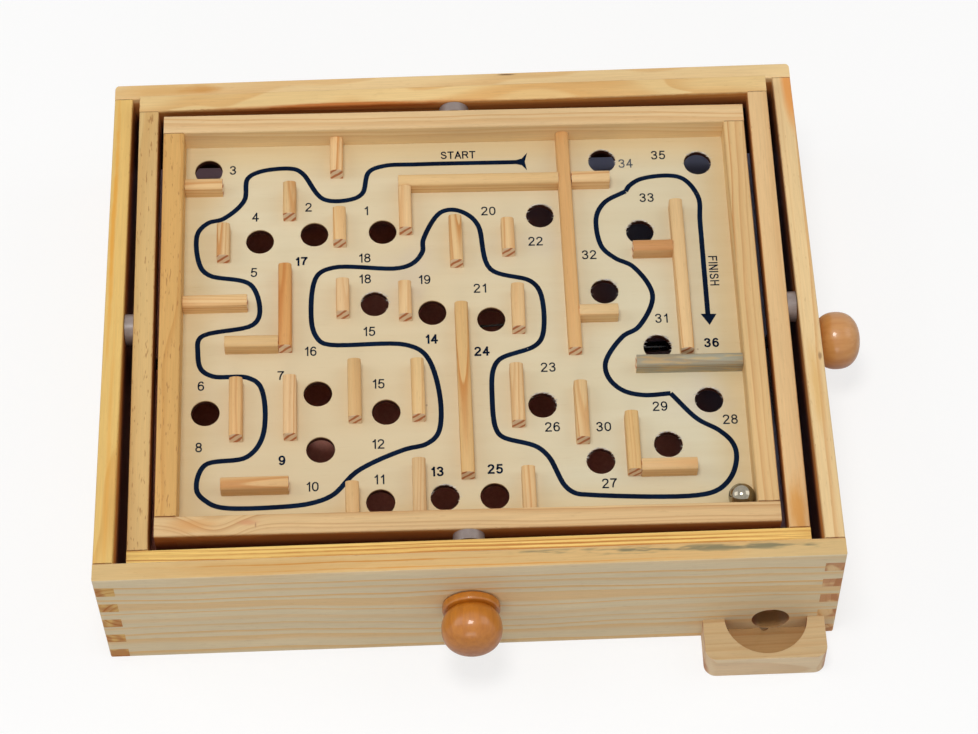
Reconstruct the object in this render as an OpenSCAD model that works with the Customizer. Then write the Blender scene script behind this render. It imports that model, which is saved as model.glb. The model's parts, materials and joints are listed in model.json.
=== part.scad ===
// Hand balance board: a tilting maze in a wooden box.
// Millimetres, +Z up, +Y to the back, origin at the middle of the underside of the box.
// The outer frame tips about X on two side pivots, the maze board inside it tips about Y
// on two end pivots, and a cord wound round each knob's rod pulls one of them over.

/* [Maze field] */
// Width of the playing field between the side rails
field_w = 236; // [220:1:260]
// Depth of the playing field between the front and back rails
field_d = 186; // [175:1:205]
// Thickness of the plywood panel
panel_t = 3; // [2:0.5:4]
// Diameter of the holes that the ball can drop through
hole_d = 12; // [11.5:0.5:13]
// Diameter of the steel ball
ball_d = 11; // [9:0.5:11]
// Width of the glued maze strips
strip_w = 5.6; // [4.5:0.1:6]
// Height of the maze strips at the crown
strip_h = 7.2; // [5:0.1:9]
// How far the rounded top of a strip rises above its straight sides
strip_crown = 1.4; // [0.8:0.1:2]

/* [Board rails] */
// Width of the rails round the maze board
board_rail_w = 9; // [8:0.5:12]
// How far the rails stand above the playing surface
board_rail_rise = 12.4; // [10:0.1:14]
// How far the panel is let into the rails
panel_lip = 4; // [3:0.5:5]
// Depth of the notch that clears the long rod
rod_notch_h = 2.8; // [2:0.1:5]
// Width of the notch that clears the long rod
rod_notch_w = 14; // [12:1:24]

/* [Middle frame] */
// Width of the rails of the middle frame
frame_rail_w = 8.5; // [7:0.5:12]
// Height of the rails of the middle frame
frame_rail_h = 13; // [12:0.5:14]
// Gap between the maze board and the middle frame, left and right
board_gap_x = 2.5; // [2:0.1:4]
// Gap between the maze board and the middle frame, front and back
board_gap_y = 4.5; // [3:0.1:6]
// Gap between the middle frame and the box, left and right
frame_gap_x = 4; // [3:0.1:6]
// Gap between the middle frame and the box, front and back
frame_gap_y = 3; // [2.5:0.1:6]
// Rounding of the long top edges of rails and walls
edge_r = 0.7; // [0.4:0.1:1]

/* [Box] */
// Height of the box
case_h = 64; // [62:1:80]
// Thickness of the box walls
wall = 8; // [7:0.5:12]
// Number of fingers and gaps up each corner, an even number
finger_count = 10; // [6:2:14]
// Radius of the upright corners at the back of the box
back_corner_r = 2.5; // [1:0.5:4]
// Radius of the upright corners at the front of the box
front_corner_r = 0.8; // [0.5:0.1:4]
// How far the rails lie below the top of the box
rail_drop = 2; // [1:0.5:4]
// Thickness of the base panel
base_t = 3; // [2:0.5:4]
// How far the base panel is let into the walls
base_lip = 4; // [3:0.5:5]
// Diameter of the nails that hold the base panel
nail_d = 1.4; // [1:0.1:2]
// Length of the nails that hold the base panel
nail_l = 14; // [10:1:25]
// Distance of the outer nails from the inner corners of the box
nail_inset = 30; // [24:1:60]

/* [Ball floor] */
// Thickness of the sloping floor panel
floor_t = 2; // [1.5:0.1:2.2]
// Slope of the floor down to the front, in degrees
floor_slope_y = 2.5; // [1:0.1:2.6]
// Slope of the floor down to the right, in degrees
floor_slope_x = 0.6; // [0.2:0.1:0.7]
// Gap between the floor's back edge and the back wall
floor_back_gap = 4.5; // [1:0.5:8]
// Drop from the floor's lowest corner to the floor of the cup
floor_step = 0.3; // [0.1:0.1:1]
// Width of the bearers under the floor
bearer_w = 10; // [6:1:20]
// How far the bearers stop short of the floor's back edge
bearer_back = 4; // [0:0.5:10]
// Distance of the bearers from the front wall
bearer_front = 30; // [20:1:60]
// Length of the side of the guide block along the right wall
guide_leg = 18; // [12:1:24]
// Height of the block that steers the ball out of the front right corner
guide_h = 20; // [15:1:22]

/* [Exit hole and tray] */
// Diameter of the exit hole in the front wall
exit_d = 15.3; // [13:0.1:17]
// Distance of the exit hole from the inside of the right wall
exit_inset = 19; // [16:1:30]
// Width of the catch tray
tray_w = 50; // [44:1:60]
// Depth of the catch tray, front to back
tray_d = 19; // [18:1:30]
// Height of the catch tray
tray_h = 14; // [10:1:18]
// Height of the floor of its cup above the table
cup_floor = 5; // [5:0.5:8]
// Radius of the cup
cup_r = 17; // [14:0.5:17]
// How far the centre of the cup lies behind the front wall's face
cup_back = 0.5; // [0:0.5:2]
// Radius of the tray's front corners
tray_corner_r = 5; // [2:0.5:8]
// Radius of the spur mark that the drill leaves in the middle of the cup
spur_r = 1.8; // [1:0.1:2.5]
// Depth of the spur mark below the floor of the cup
spur_depth = 2.5; // [1:0.5:3]
// How far the tray's right edge lies inside the box's right face
tray_inset = 5; // [2:1:20]
// How far the cup lies to the right of the tray's middle
cup_shift = 1; // [0:0.5:2]

/* [Pivots] */
// Diameter of the steel pivot pins
pin_d = 3; // [2:0.5:4]
// How deep a pin goes into the wood that it turns in
pin_depth = 5.5; // [4:0.5:6]
// Length of a pin that is held fast in its own rail
pin_hold = 7; // [5:0.5:8]
// Diameter of the nylon discs on the pins
disc_d = 13; // [9:0.5:13]
// Running gap beside a disc
disc_gap = 0.3; // [0.2:0.1:0.5]

/* [Tilt at rest] */
// Tip of the middle frame as it stands, front down, in degrees
frame_tilt = 4.4; // [-4:0.1:4.6]
// Tip of the maze board as it stands, right side down, in degrees
board_tilt = 1.2; // [-4:0.1:4.6]

/* [Rods and knobs] */
// Diameter of the black steel rods
rod_d = 5; // [4:0.5:6]
// How far the front knob's rod lies below the maze board, middle of the rod to board
front_rod_drop = 12.1; // [11.8:0.1:12.6]
// Gap between the two rods where they cross, the side knob's rod being the lower one
rod_clear = 1; // [0.5:0.1:1.5]
// How far a rod goes into the wall that carries its far end
rod_blind = 4.5; // [3:0.5:6]
// Diameter of the head of a knob
knob_d = 24.8; // [20:0.1:28]
// Length of the head of a knob along its rod
knob_l = 20.4; // [16:0.1:26]
// Distance from the wall to the middle of the head
knob_reach = 11.5; // [11:0.1:16]
// Diameter of the collar behind the head
collar_d = 23.6; // [16:0.1:26]
// Thickness of the collar
collar_t = 3.6; // [2:0.1:4]
// Depth of the groove between collar and head
groove = 0.5; // [0.3:0.1:1]
// Outer diameter of the stop rings on the rods
stop_d = 10; // [9:0.5:11]
// Thickness of the stop rings
stop_t = 2.4; // [2:0.1:2.8]

/* [Cords and springs] */
// Diameter of the cords
cord_d = 1; // [0.8:0.1:1.2]
// Turns that a cord makes round its rod
cord_turns = 3; // [2:1:3]
// Distance from one turn of a cord to the next
cord_pitch = 1.6; // [1.6:0.1:2]
// How far the front knob's cord lies behind the tilt axis
front_cord_y = 9; // [8:0.5:14]
// Distance of the middle frame's screw eyes from the tilt axis
frame_eye_y = 100; // [80:1:106]
// Radius of a screw eye's ring at the middle of its wire
eye_r = 2.2; // [2:0.1:3]
// Diameter of the screw eyes' wire
eye_wire = 1.2; // [0.8:0.1:1.4]
// How far a screw eye goes into its rail
eye_stem = 6; // [4:0.5:8]
// Bare shank between a screw eye's ring and its rail
eye_neck = 1; // [0.5:0.1:2]
// Coils of a tension spring
spring_coils = 12; // [8:1:14]
// Radius of a spring's coils at the middle of its wire
spring_r = 2.1; // [1.8:0.1:2.2]
// Diameter of the spring wire
spring_wire = 0.6; // [0.5:0.1:0.7]
// Gap between the coils of a stretched spring
coil_gap = 0.45; // [0.45:0.05:0.6]

/* [Hidden] */
$fn = 48;

// Fits: a glued or driven piece, a turning shaft, and loose pieces side by side
glue_gap = 0.02;
run_gap = 0.05;
loose_gap = 0.3;
// How far a cut reaches past the face that it starts from
cut = 1;
// Room past the end of a pin, rod or stem in its blind bore
end_of_blind = 0.5;

// Layout of the maze, stretched with the field: its outermost strips reach the rails.
// Middles of the holes
HOLES = [
    [-108, 80.5], [64.5, 81.5], [106.5, 79.5],
    [-85.5, 44], [-62, 47], [-32.5, 47.5], [36, 54], [79, 44.5],
    [-36.5, 11.5], [-12, 6.5], [13, 2.5], [62, 15], [83, -13],
    [-108, -39.5], [-61, -31.5], [-32.5, -41], [33, -39.5], [103, -39],
    [-60, -58], [56, -66.5], [84.5, -59.5],
    [-35.5, -83], [-9, -81.5], [11.5, -81.5]
];

// Strips that run front to back: middle, front end, back end. An end that butts on another
// strip is that strip's middle and on which side of it the end lies, such as [69.8, -1].
LONG_STRIPS = [
    [-52, 75.5, 93], [-72.5, 54, 70.5], [-51, 40, 57], [-101, 33.5, 50],
    [-22.5, 45.5, [69.8, -1]], [-1, 28.5, 51.5], [-74.5, -11.5, 29], [-50, 4.5, 21],
    [-23.5, 2.5, 19], [0.5, -73.5, 8], [-95, -53.5, -26], [-72.5, -53.5, -25.5],
    [-45.5, -46, -18.5], [-19, -46, -19], [-47, -93, -76], [-19.5, -93, -66],
    [25.5, -93, -71], [21.5, 33.5, 49.5], [24.5, -5, 16.5], [22.5, -50, -22.5],
    [49, -58.5, -31.5], [69.5, -74, -46.5], [47.5, -16, 93], [95, -17.5, 57]
];

// Strips that run left to right: middle, left end, right end
CROSS_STRIPS = [
    [70.2, -118, -101.5], [69.8, -25.3, [47.5, -1]], [69.8, [47.5, 1], 67],
    [11.5, -118, -90.5], [2.6, [47.5, 1], 67], [-8.8, -100, [-74.5, -1]],
    [-75.5, -101, -73], [33.8, 75, [95, -1]], [-22.8, 73, 118], [-71.6, [69.5, 1], 95.5]
];

// Stretch of the layout, from the reach of its strips to that of the field
function reach(strips) = max([for (s = strips) if (is_num(s[2])) s[2]]);
stretch_x = field_w / 2 / reach(CROSS_STRIPS);
stretch_y = field_d / 2 / reach(LONG_STRIPS);

// Sizes worked out from the ones above, from the maze outwards
board_w = field_w + 2 * board_rail_w;
board_d = field_d + 2 * board_rail_w;
frame_in_w = board_w + 2 * board_gap_x;
frame_in_d = board_d + 2 * board_gap_y;
frame_w = frame_in_w + 2 * frame_rail_w;
frame_d = frame_in_d + 2 * frame_rail_w;
inner_w = frame_w + 2 * frame_gap_x;
inner_d = frame_d + 2 * frame_gap_y;
case_w = inner_w + 2 * wall;
case_d = inner_d + 2 * wall;

// Heights, with both frames level
rail_top = case_h - rail_drop;
pivot_z = rail_top - frame_rail_h / 2;
frame_bottom = rail_top - frame_rail_h;
surface_z = rail_top - board_rail_rise;
board_bottom = surface_z - panel_t;
board_rail_h = rail_top - board_bottom;

rail_fingers = 3;
front_rod_z = board_bottom - front_rod_drop;
side_rod_z = front_rod_z - rod_d - rod_clear;
rod_bore_r = rod_d / 2 + run_gap;
ball_r = ball_d / 2;

floor_low = cup_floor + floor_step;
exit_x = inner_w / 2 - exit_inset;
exit_z = cup_floor + exit_d / 2;
tray_x = case_w / 2 - tray_inset - tray_w / 2;
cup_x = tray_x + cup_shift;

frame_eye_x = (frame_in_w + frame_rail_w) / 2;
board_eye_x = (board_w / 2 + field_w / 2 + panel_lip) / 2;
eye_drop = eye_r + eye_wire / 2 + eye_neck;
wind_gap = 0.15;
wind_r = rod_d / 2 + cord_d / 2 + wind_gap;

PINE = [0.88, 0.72, 0.45];
PINE_PALE = [0.87, 0.73, 0.54];
PINE_DARK = [0.83, 0.64, 0.38];
BIRCH = [0.88, 0.82, 0.66];
BOARD_BROWN = [0.45, 0.31, 0.2];
STEEL = [0.75, 0.76, 0.78];
STEEL_BLACK = [0.1, 0.11, 0.13];
NYLON = [0.9, 0.9, 0.88];
AMBER = [0.76, 0.42, 0.13];
BRASS = [0.78, 0.62, 0.3];
CORD = [0.2, 0.17, 0.15];

// Turns a point or a vector about X, then a point about Y
function turn_x(p, a) = [p[0], p[1] * cos(a) - p[2] * sin(a), p[1] * sin(a) + p[2] * cos(a)];
function turn_y(p, a) = [p[0] * cos(a) + p[2] * sin(a), p[1], -p[0] * sin(a) + p[2] * cos(a)];
pivot = [0, 0, pivot_z];
function frame_point(p) = pivot + turn_x(p - pivot, frame_tilt);
function board_point(p) = pivot + turn_x(turn_y(p - pivot, board_tilt), frame_tilt);
function unit(v) = v / norm(v);

// Stands its children as the middle frame stands
module on_frame() {
    translate(pivot) rotate([frame_tilt, 0, 0]) translate(-pivot) children();
}

// Stands its children as the maze board stands
module on_board() {
    on_frame() translate(pivot) rotate([0, board_tilt, 0]) translate(-pivot) children();
}

// Points of an arc, and the end view of a bar whose two top edges are rounded
function arc(c, r, from, to, n) =
    [for (i = [0:n]) let (a = from + (to - from) * i / n) c + r * [cos(a), sin(a)]];
function bar_end(w, h, r) = concat(
    [[-w / 2, 0], [w / 2, 0]],
    arc([w / 2 - r, h - r], r, 0, 90, 3),
    arc([-w / 2 + r, h - r], r, 90, 180, 3)
);

// A bar along X or along Y, its middle over the origin and its underside at z = 0
module bar_x(l, w, h, r) {
    translate([-l / 2, 0, 0]) rotate([90, 0, 90]) linear_extrude(l) polygon(bar_end(w, h, r));
}
module bar_y(l, w, h, r) {
    translate([0, l / 2, 0]) rotate([90, 0, 0]) linear_extrude(l) polygon(bar_end(w, h, r));
}

// The gaps of a finger joint at all four corners of a frame: count slots up the height h,
// every second one cut, starting with slot number first from the top. The cuts reach past
// the outside of the frame, and past its top and bottom in the outermost slots.
module finger_gaps(w, d, t, h, count, first) {
    step = h / count;
    for (i = [first:2:count - 1]) {
        low = i == count - 1 ? -cut : h - (i + 1) * step;
        high = i == 0 ? h + cut : h - i * step;
        for (mx = [-1, 1], my = [-1, 1])
            translate([mx * w / 2, my * d / 2, (low + high) / 2])
                cube([2 * t, 2 * t, high - low], center = true);
    }
}

// Upright outline of the box, rounded at its four corners
module case_outline() {
    w = case_w / 2;
    d = case_d / 2;
    f = front_corner_r;
    b = back_corner_r;
    linear_extrude(case_h) polygon(concat(
        arc([w - f, -d + f], f, -90, 0, 4),
        arc([w - b, d - b], b, 0, 90, 6),
        arc([-w + b, d - b], b, 90, 180, 6),
        arc([-w + f, -d + f], f, 180, 270, 4)
    ));
}

// The base panel, and the room for it in the lower edge of the walls, open below
module base_block(below) {
    w = inner_w + 2 * base_lip;
    d = inner_d + 2 * base_lip;
    translate([-w / 2, -d / 2, -below]) cube([w, d, base_t + below]);
}

// Where the base nails stand, in the middle of the panel's lip
nail_x = inner_w / 2 + base_lip / 2;
nail_y = inner_d / 2 + base_lip / 2;
nail_row_x = inner_w / 2 - nail_inset;
nail_row_y = inner_d / 2 - nail_inset;
NAILS = concat(
    [for (side = [-1, 1], x = [-nail_row_x, 0, nail_row_x]) [x, side * nail_y]],
    [for (side = [-1, 1], y = [-nail_row_y, nail_row_y]) [side * nail_x, y]]
);
module nail(extra) {
    head_r = nail_d;
    cylinder(h = nail_l, r = nail_d / 2 + extra);
    cylinder(h = head_r - nail_d / 2, r1 = head_r + extra, r2 = nail_d / 2 + extra);
}
module nail_holes() {
    for (p = NAILS) translate([p[0], p[1], 0]) nail(glue_gap);
}

// The box
module front_or_back(side) {
    intersection() {
        difference() {
            translate([0, side * (inner_d + wall) / 2, 0]) bar_x(case_w, wall, case_h, edge_r);
            finger_gaps(case_w, case_d, wall, case_h, finger_count, 1);
            base_block(cut);
            nail_holes();
        }
        case_outline();
    }
}
module left_or_right(side) {
    intersection() {
        difference() {
            translate([side * (inner_w + wall) / 2, 0, 0]) bar_y(case_d, wall, case_h, edge_r);
            finger_gaps(case_w, case_d, wall, case_h, finger_count, 0);
            base_block(cut);
            nail_holes();
            // blind bore for the pivot pin
            translate([side * inner_w / 2, 0, pivot_z]) rotate([0, 90, 0])
                cylinder(h = 2 * (pin_depth + end_of_blind), r = pin_d / 2 + run_gap, center = true);
        }
        case_outline();
    }
}
module front_wall() {
    color(PINE) difference() {
        front_or_back(-1);
        translate([0, -inner_d / 2 - wall / 2, front_rod_z]) rotate([90, 0, 0])
            cylinder(h = 2 * wall, r = rod_bore_r, center = true);
        translate([exit_x, -inner_d / 2 - wall / 2, exit_z]) rotate([90, 0, 0])
            cylinder(h = 2 * wall, r = exit_d / 2, center = true);
    }
}
module back_wall() {
    color(PINE) difference() {
        front_or_back(1);
        translate([0, inner_d / 2, front_rod_z]) rotate([90, 0, 0])
            cylinder(h = 2 * (rod_blind + end_of_blind), r = rod_bore_r, center = true);
    }
}
module left_wall() {
    color(PINE) difference() {
        left_or_right(-1);
        translate([-inner_w / 2, 0, side_rod_z]) rotate([0, 90, 0])
            cylinder(h = 2 * (rod_blind + end_of_blind), r = rod_bore_r, center = true);
    }
}
module right_wall() {
    color(PINE) difference() {
        left_or_right(1);
        translate([inner_w / 2 + wall / 2, 0, side_rod_z]) rotate([0, 90, 0])
            cylinder(h = 2 * wall, r = rod_bore_r, center = true);
    }
}
module base_panel() {
    color(BOARD_BROWN) difference() {
        base_block(0);
        nail_holes();
    }
}
module base_nails() {
    color(STEEL) for (p = NAILS) translate([p[0], p[1], 0]) nail(0);
}

// Everything from height h below the floor's top surface down, seen along the slope
module under_floor(h) {
    big = case_w + case_d;
    translate([inner_w / 2, -inner_d / 2, floor_low]) rotate([floor_slope_y, floor_slope_x, 0])
        translate([-big, -big / 2, -h - big]) cube([2 * big, 2 * big, big]);
}

// The sloping floor, three bearers under it and the block in the front right corner
module ball_floor() {
    color(BOARD_BROWN) difference() {
        intersection() {
            translate([-inner_w / 2, -inner_d / 2, base_t])
                cube([inner_w, inner_d - floor_back_gap, case_h / 2]);
            under_floor(0);
        }
        under_floor(floor_t);
    }
}
module floor_bearers() {
    y0 = -inner_d / 2 + bearer_front;
    y1 = inner_d / 2 - floor_back_gap - bearer_back;
    color(PINE_DARK) intersection() {
        for (k = [-1, 0, 1])
            translate([k * inner_w / 3 - bearer_w / 2, y0, base_t])
                cube([bearer_w, y1 - y0, case_h / 2]);
        under_floor(floor_t);
    }
}
module guide_block() {
    x0 = exit_x + exit_d / 2 + loose_gap;
    x1 = inner_w / 2;
    y0 = -inner_d / 2;
    color(PINE_PALE) difference() {
        translate([0, 0, base_t]) linear_extrude(guide_h - base_t)
            polygon([[x0, y0], [x1, y0], [x1, y0 + guide_leg]]);
        under_floor(0);
    }
}

// The tray that catches the ball, with the drill's spur mark in the middle of its cup
module catch_tray() {
    w = tray_w / 2;
    r = tray_corner_r;
    y0 = -case_d / 2;
    color(PINE_PALE) difference() {
        translate([tray_x, y0, 0]) linear_extrude(tray_h) polygon(concat(
            [[w, 0], [-w, 0]],
            arc([-w + r, -tray_d + r], r, 180, 270, 8),
            arc([w - r, -tray_d + r], r, 270, 360, 8)
        ));
        translate([cup_x, y0 + cup_back, cup_floor]) cylinder(h = tray_h, r = cup_r, $fn = 96);
        translate([cup_x, y0 + cup_back, cup_floor - spur_depth]) cylinder(h = tray_h, r = spur_r);
    }
}

// The rails of a frame of outer size w by d, of section t by h, whose top is at rail_top
module frame_rail_x(w, d, t, h, side) {
    translate([0, 0, rail_top - h]) difference() {
        translate([0, side * (d - t) / 2, 0]) bar_x(w, t, h, edge_r);
        finger_gaps(w, d, t, h, rail_fingers, 1);
    }
}
module frame_rail_y(w, d, t, h, side) {
    translate([0, 0, rail_top - h]) difference() {
        translate([side * (w - t) / 2, 0, 0]) bar_y(d, t, h, edge_r);
        finger_gaps(w, d, t, h, rail_fingers, 0);
    }
}

// The middle frame: its side rails hold the side pins, and the end pins turn in the others
module frame_end_rail(side) {
    color(PINE) on_frame() difference() {
        frame_rail_x(frame_w, frame_d, frame_rail_w, frame_rail_h, side);
        translate([0, side * frame_in_d / 2, pivot_z]) rotate([90, 0, 0])
            cylinder(h = 2 * (pin_depth + end_of_blind), r = pin_d / 2 + run_gap, center = true);
    }
}
module frame_side_rail(side) {
    color(PINE) on_frame() difference() {
        frame_rail_y(frame_w, frame_d, frame_rail_w, frame_rail_h, side);
        translate([side * frame_w / 2, 0, pivot_z]) rotate([0, 90, 0])
            cylinder(h = 2 * (pin_hold + end_of_blind), r = pin_d / 2 + glue_gap, center = true);
        if (side > 0) frame_eyes_at() eye_hole();
    }
}
module frame_front_rail() { frame_end_rail(-1); }
module frame_back_rail() { frame_end_rail(1); }
module frame_left_rail() { frame_side_rail(-1); }
module frame_right_rail() { frame_side_rail(1); }

module side_pivot_pins() {
    color(STEEL) on_frame() for (s = [-1, 1])
        translate([s * (frame_w / 2 - pin_hold), 0, pivot_z]) rotate([0, s * 90, 0])
            cylinder(h = pin_hold + frame_gap_x + pin_depth, r = pin_d / 2);
}
module disc(t) {
    difference() {
        cylinder(h = t, r = disc_d / 2);
        translate([0, 0, -t]) cylinder(h = 3 * t, r = pin_d / 2 + glue_gap);
    }
}
module side_pivot_discs() {
    color(NYLON) on_frame() for (s = [-1, 1])
        translate([s * frame_w / 2, 0, pivot_z]) rotate([0, s * 90, 0])
            disc(frame_gap_x - disc_gap);
}
module end_pivot_pins() {
    color(STEEL) on_board() for (s = [-1, 1])
        translate([0, s * (board_d / 2 - pin_hold), pivot_z]) rotate([-s * 90, 0, 0])
            cylinder(h = pin_hold + board_gap_y + pin_depth, r = pin_d / 2);
}
module end_pivot_discs() {
    color(NYLON) on_board() for (s = [-1, 1])
        translate([0, s * board_d / 2, pivot_z]) rotate([-s * 90, 0, 0])
            disc(board_gap_y - disc_gap);
}

// A screw eye hanging from the underside of a rail, its ring upright, and its pilot hole.
// The origin is on the underside of the rail.
module screw_eye() {
    translate([0, 0, -eye_drop]) rotate([90, 0, 90]) rotate_extrude()
        translate([eye_r, 0]) circle(r = eye_wire / 2, $fn = 16);
    translate([0, 0, -eye_drop + eye_r]) cylinder(h = eye_drop - eye_r + eye_stem, r = eye_wire / 2);
}
module eye_hole() {
    translate([0, 0, -cut]) cylinder(h = cut + eye_stem + end_of_blind, r = eye_wire / 2 + glue_gap);
}
module frame_eyes_at() {
    for (s = [-1, 1]) translate([frame_eye_x, s * frame_eye_y, frame_bottom]) children();
}
module board_eyes_at() {
    for (s = [-1, 1]) translate([s * board_eye_x, front_cord_y, board_bottom])
        rotate([0, 0, 90]) children();
}
module frame_screw_eyes() { color(BRASS) on_frame() frame_eyes_at() screw_eye(); }
module board_screw_eyes() { color(BRASS) on_board() board_eyes_at() screw_eye(); }

// The maze board
panel_w = field_w + 2 * panel_lip;
panel_d = field_d + 2 * panel_lip;
module panel_block() {
    translate([-panel_w / 2, -panel_d / 2, board_bottom]) cube([panel_w, panel_d, panel_t]);
}
module maze_panel() {
    color(BIRCH) on_board() difference() {
        panel_block();
        for (h = HOLES) translate([h[0] * stretch_x, h[1] * stretch_y, board_bottom - cut])
            cylinder(h = panel_t + 2 * cut, r = hole_d / 2);
    }
}
module board_end_rail(side) {
    color(PINE_PALE) on_board() difference() {
        frame_rail_x(board_w, board_d, board_rail_w, board_rail_h, side);
        panel_block();
        translate([0, side * board_d / 2, pivot_z]) rotate([90, 0, 0])
            cylinder(h = 2 * (pin_hold + end_of_blind), r = pin_d / 2 + glue_gap, center = true);
        translate([-rod_notch_w / 2, side * board_d / 2 - board_rail_w, board_bottom - cut])
            cube([rod_notch_w, 2 * board_rail_w, rod_notch_h + cut]);
    }
}
module board_side_rail(side) {
    color(PINE_PALE) on_board() difference() {
        frame_rail_y(board_w, board_d, board_rail_w, board_rail_h, side);
        panel_block();
        board_eyes_at() eye_hole();
    }
}
module board_front_rail() { board_end_rail(-1); }
module board_back_rail() { board_end_rail(1); }
module board_left_rail() { board_side_rail(-1); }
module board_right_rail() { board_side_rail(1); }

// A strip with upright sides and a rounded top, along Y from the origin
module strip(l) {
    half = strip_w / 2;
    crown_r = (half * half + strip_crown * strip_crown) / (2 * strip_crown);
    intersection() {
        translate([-half, 0, 0]) cube([strip_w, l, strip_h]);
        translate([0, l / 2, strip_h - crown_r]) rotate([90, 0, 0])
            cylinder(h = l + 2 * cut, r = crown_r, center = true);
    }
    // the straight sides below the crown
    translate([-half, 0, 0]) cube([strip_w, l, strip_h - strip_crown]);
}
function strip_end(e, scale) = is_list(e) ? e[0] * scale + e[1] * strip_w / 2 : e * scale;
module long_strips() {
    color(PINE_DARK) on_board() for (s = LONG_STRIPS) {
        from = strip_end(s[1], stretch_y);
        to = strip_end(s[2], stretch_y);
        translate([s[0] * stretch_x, from, surface_z]) strip(to - from);
    }
}
module cross_strips() {
    color(PINE_DARK) on_board() for (s = CROSS_STRIPS) {
        from = strip_end(s[1], stretch_x);
        to = strip_end(s[2], stretch_x);
        translate([to, s[0] * stretch_y, surface_z]) rotate([0, 0, 90]) strip(to - from);
    }
}
module steel_ball() {
    side = ball_r + 2 * run_gap;
    c = [field_w / 2 - side, -field_d / 2 + side, surface_z + ball_r + run_gap];
    color(STEEL) translate(board_point(c)) sphere(r = ball_r, $fn = 64);
}

// A turned knob in one piece: collar, groove and flattened ball head, along +Z from the
// wall's face. The head's outline is a circle swelled towards a square by knob_power, from
// neck_from degrees before its widest line to the middle of its front.
knob_power = 2.3;
knob_steps = 20;
neck_from = -40;
function knob_curve(t) = [
    knob_d / 2 * pow(abs(cos(t)), 2 / knob_power),
    knob_reach + sign(t) * knob_l / 2 * pow(abs(sin(t)), 2 / knob_power)
];
module turned_knob() {
    rim = collar_t / 4;
    z0 = loose_gap;
    z1 = z0 + collar_t;
    neck = knob_curve(neck_from);
    difference() {
        rotate_extrude() polygon(concat(
            [[0, z0]],
            arc([collar_d / 2 - rim, z0 + rim], rim, -90, 0, 4),
            arc([collar_d / 2 - rim, z1 - rim], rim, 0, 90, 4),
            [[neck[0] - groove, (z1 + neck[1]) / 2]],
            [for (i = [0:knob_steps]) knob_curve(neck_from + (90 - neck_from) * i / knob_steps)]
        ));
        translate([0, 0, -cut])
            cylinder(h = cut + knob_reach + end_of_blind, r = rod_d / 2 + glue_gap);
    }
}
module front_knob() {
    color(AMBER) translate([0, -case_d / 2, front_rod_z]) rotate([90, 0, 0]) turned_knob();
}
module side_knob() {
    color(AMBER) translate([case_w / 2, 0, side_rod_z]) rotate([0, 90, 0]) turned_knob();
}
module front_rod() {
    color(STEEL_BLACK) translate([0, inner_d / 2 + rod_blind, front_rod_z]) rotate([90, 0, 0])
        cylinder(h = inner_d + rod_blind + wall + knob_reach, r = rod_d / 2);
}
module side_rod() {
    color(STEEL_BLACK) translate([-inner_w / 2 - rod_blind, 0, side_rod_z]) rotate([0, 90, 0])
        cylinder(h = inner_w + rod_blind + wall + knob_reach, r = rod_d / 2);
}
module stop_ring() {
    difference() {
        cylinder(h = stop_t, r = stop_d / 2);
        translate([0, 0, -cut]) cylinder(h = stop_t + 2 * cut, r = rod_d / 2 + glue_gap);
    }
}
module front_stop_ring() {
    color(NYLON) translate([0, -inner_d / 2 + loose_gap, front_rod_z]) rotate([-90, 0, 0])
        stop_ring();
}
module side_stop_ring() {
    color(NYLON) translate([inner_w / 2 - loose_gap, 0, side_rod_z]) rotate([0, -90, 0])
        stop_ring();
}

// A tube of a given radius swept along points. Each ring's first corner follows the one
// before it, turned as little as the path allows.
function across(v, n) = unit(n - v * (n * v));
function way(p, i) = unit(p[min(i + 1, len(p) - 1)] - p[max(i - 1, 0)]);
function start_side(v) = across(v, abs(v[2]) < 0.9 ? [0, 0, 1] : [1, 0, 0]);
module tube(p, r, sides) {
    n = len(p);
    u = [for (i = 0, s = start_side(way(p, 0)); i < n;
              i = i + 1, s = i < n ? across(way(p, i), s) : s) s];
    rings = [for (i = [0:n - 1], k = [0:sides - 1])
        let (a = 360 * k / sides, w = cross(way(p, i), u[i])) p[i] + r * (cos(a) * u[i] + sin(a) * w)];
    polyhedron(
        points = rings,
        faces = concat(
            [[for (k = [0:sides - 1]) sides - 1 - k]],
            [for (i = [0:n - 2], k = [0:sides - 1])
                [i * sides + k, i * sides + (k + 1) % sides, (i + 1) * sides + (k + 1) % sides]],
            [for (i = [0:n - 2], k = [0:sides - 1])
                [i * sides + k, (i + 1) * sides + (k + 1) % sides, (i + 1) * sides + k]],
            [[for (k = [0:sides - 1]) (n - 1) * sides + k]]
        )
    );
}

// Least distance between two stretches of a tube that are not neighbours along it
function length_to(p) = [for (i = 0, s = 0; i < len(p); s = s + norm(p[i] - p[max(i - 1, 0)]), i = i + 1)
    s + (i > 0 ? norm(p[i] - p[i - 1]) : 0)];
function least_gap(p, d) = let (s = length_to(p)) min([
    for (i = [0:len(p) - 1], j = [i + 1:1:len(p) - 1]) if (s[j] - s[i] > 3 * d) norm(p[i] - p[j])
]) - d;

// A hook round a wire at the point c: it starts beside the wire on the side s, goes half
// round beyond it, where d is the way back to the rod, and its tail runs back beside it
hook_r = cord_d / 2 + eye_wire / 2 + loose_gap;
hook_steps = 8;
tail_l = 3;
function hook(c, d, s) = concat(
    [for (i = [0:hook_steps]) let (a = 180 * i / hook_steps) c + hook_r * (cos(a) * s - sin(a) * d)],
    [for (k = [0.5, 1]) c - hook_r * s + k * tail_l * d]
);

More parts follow.
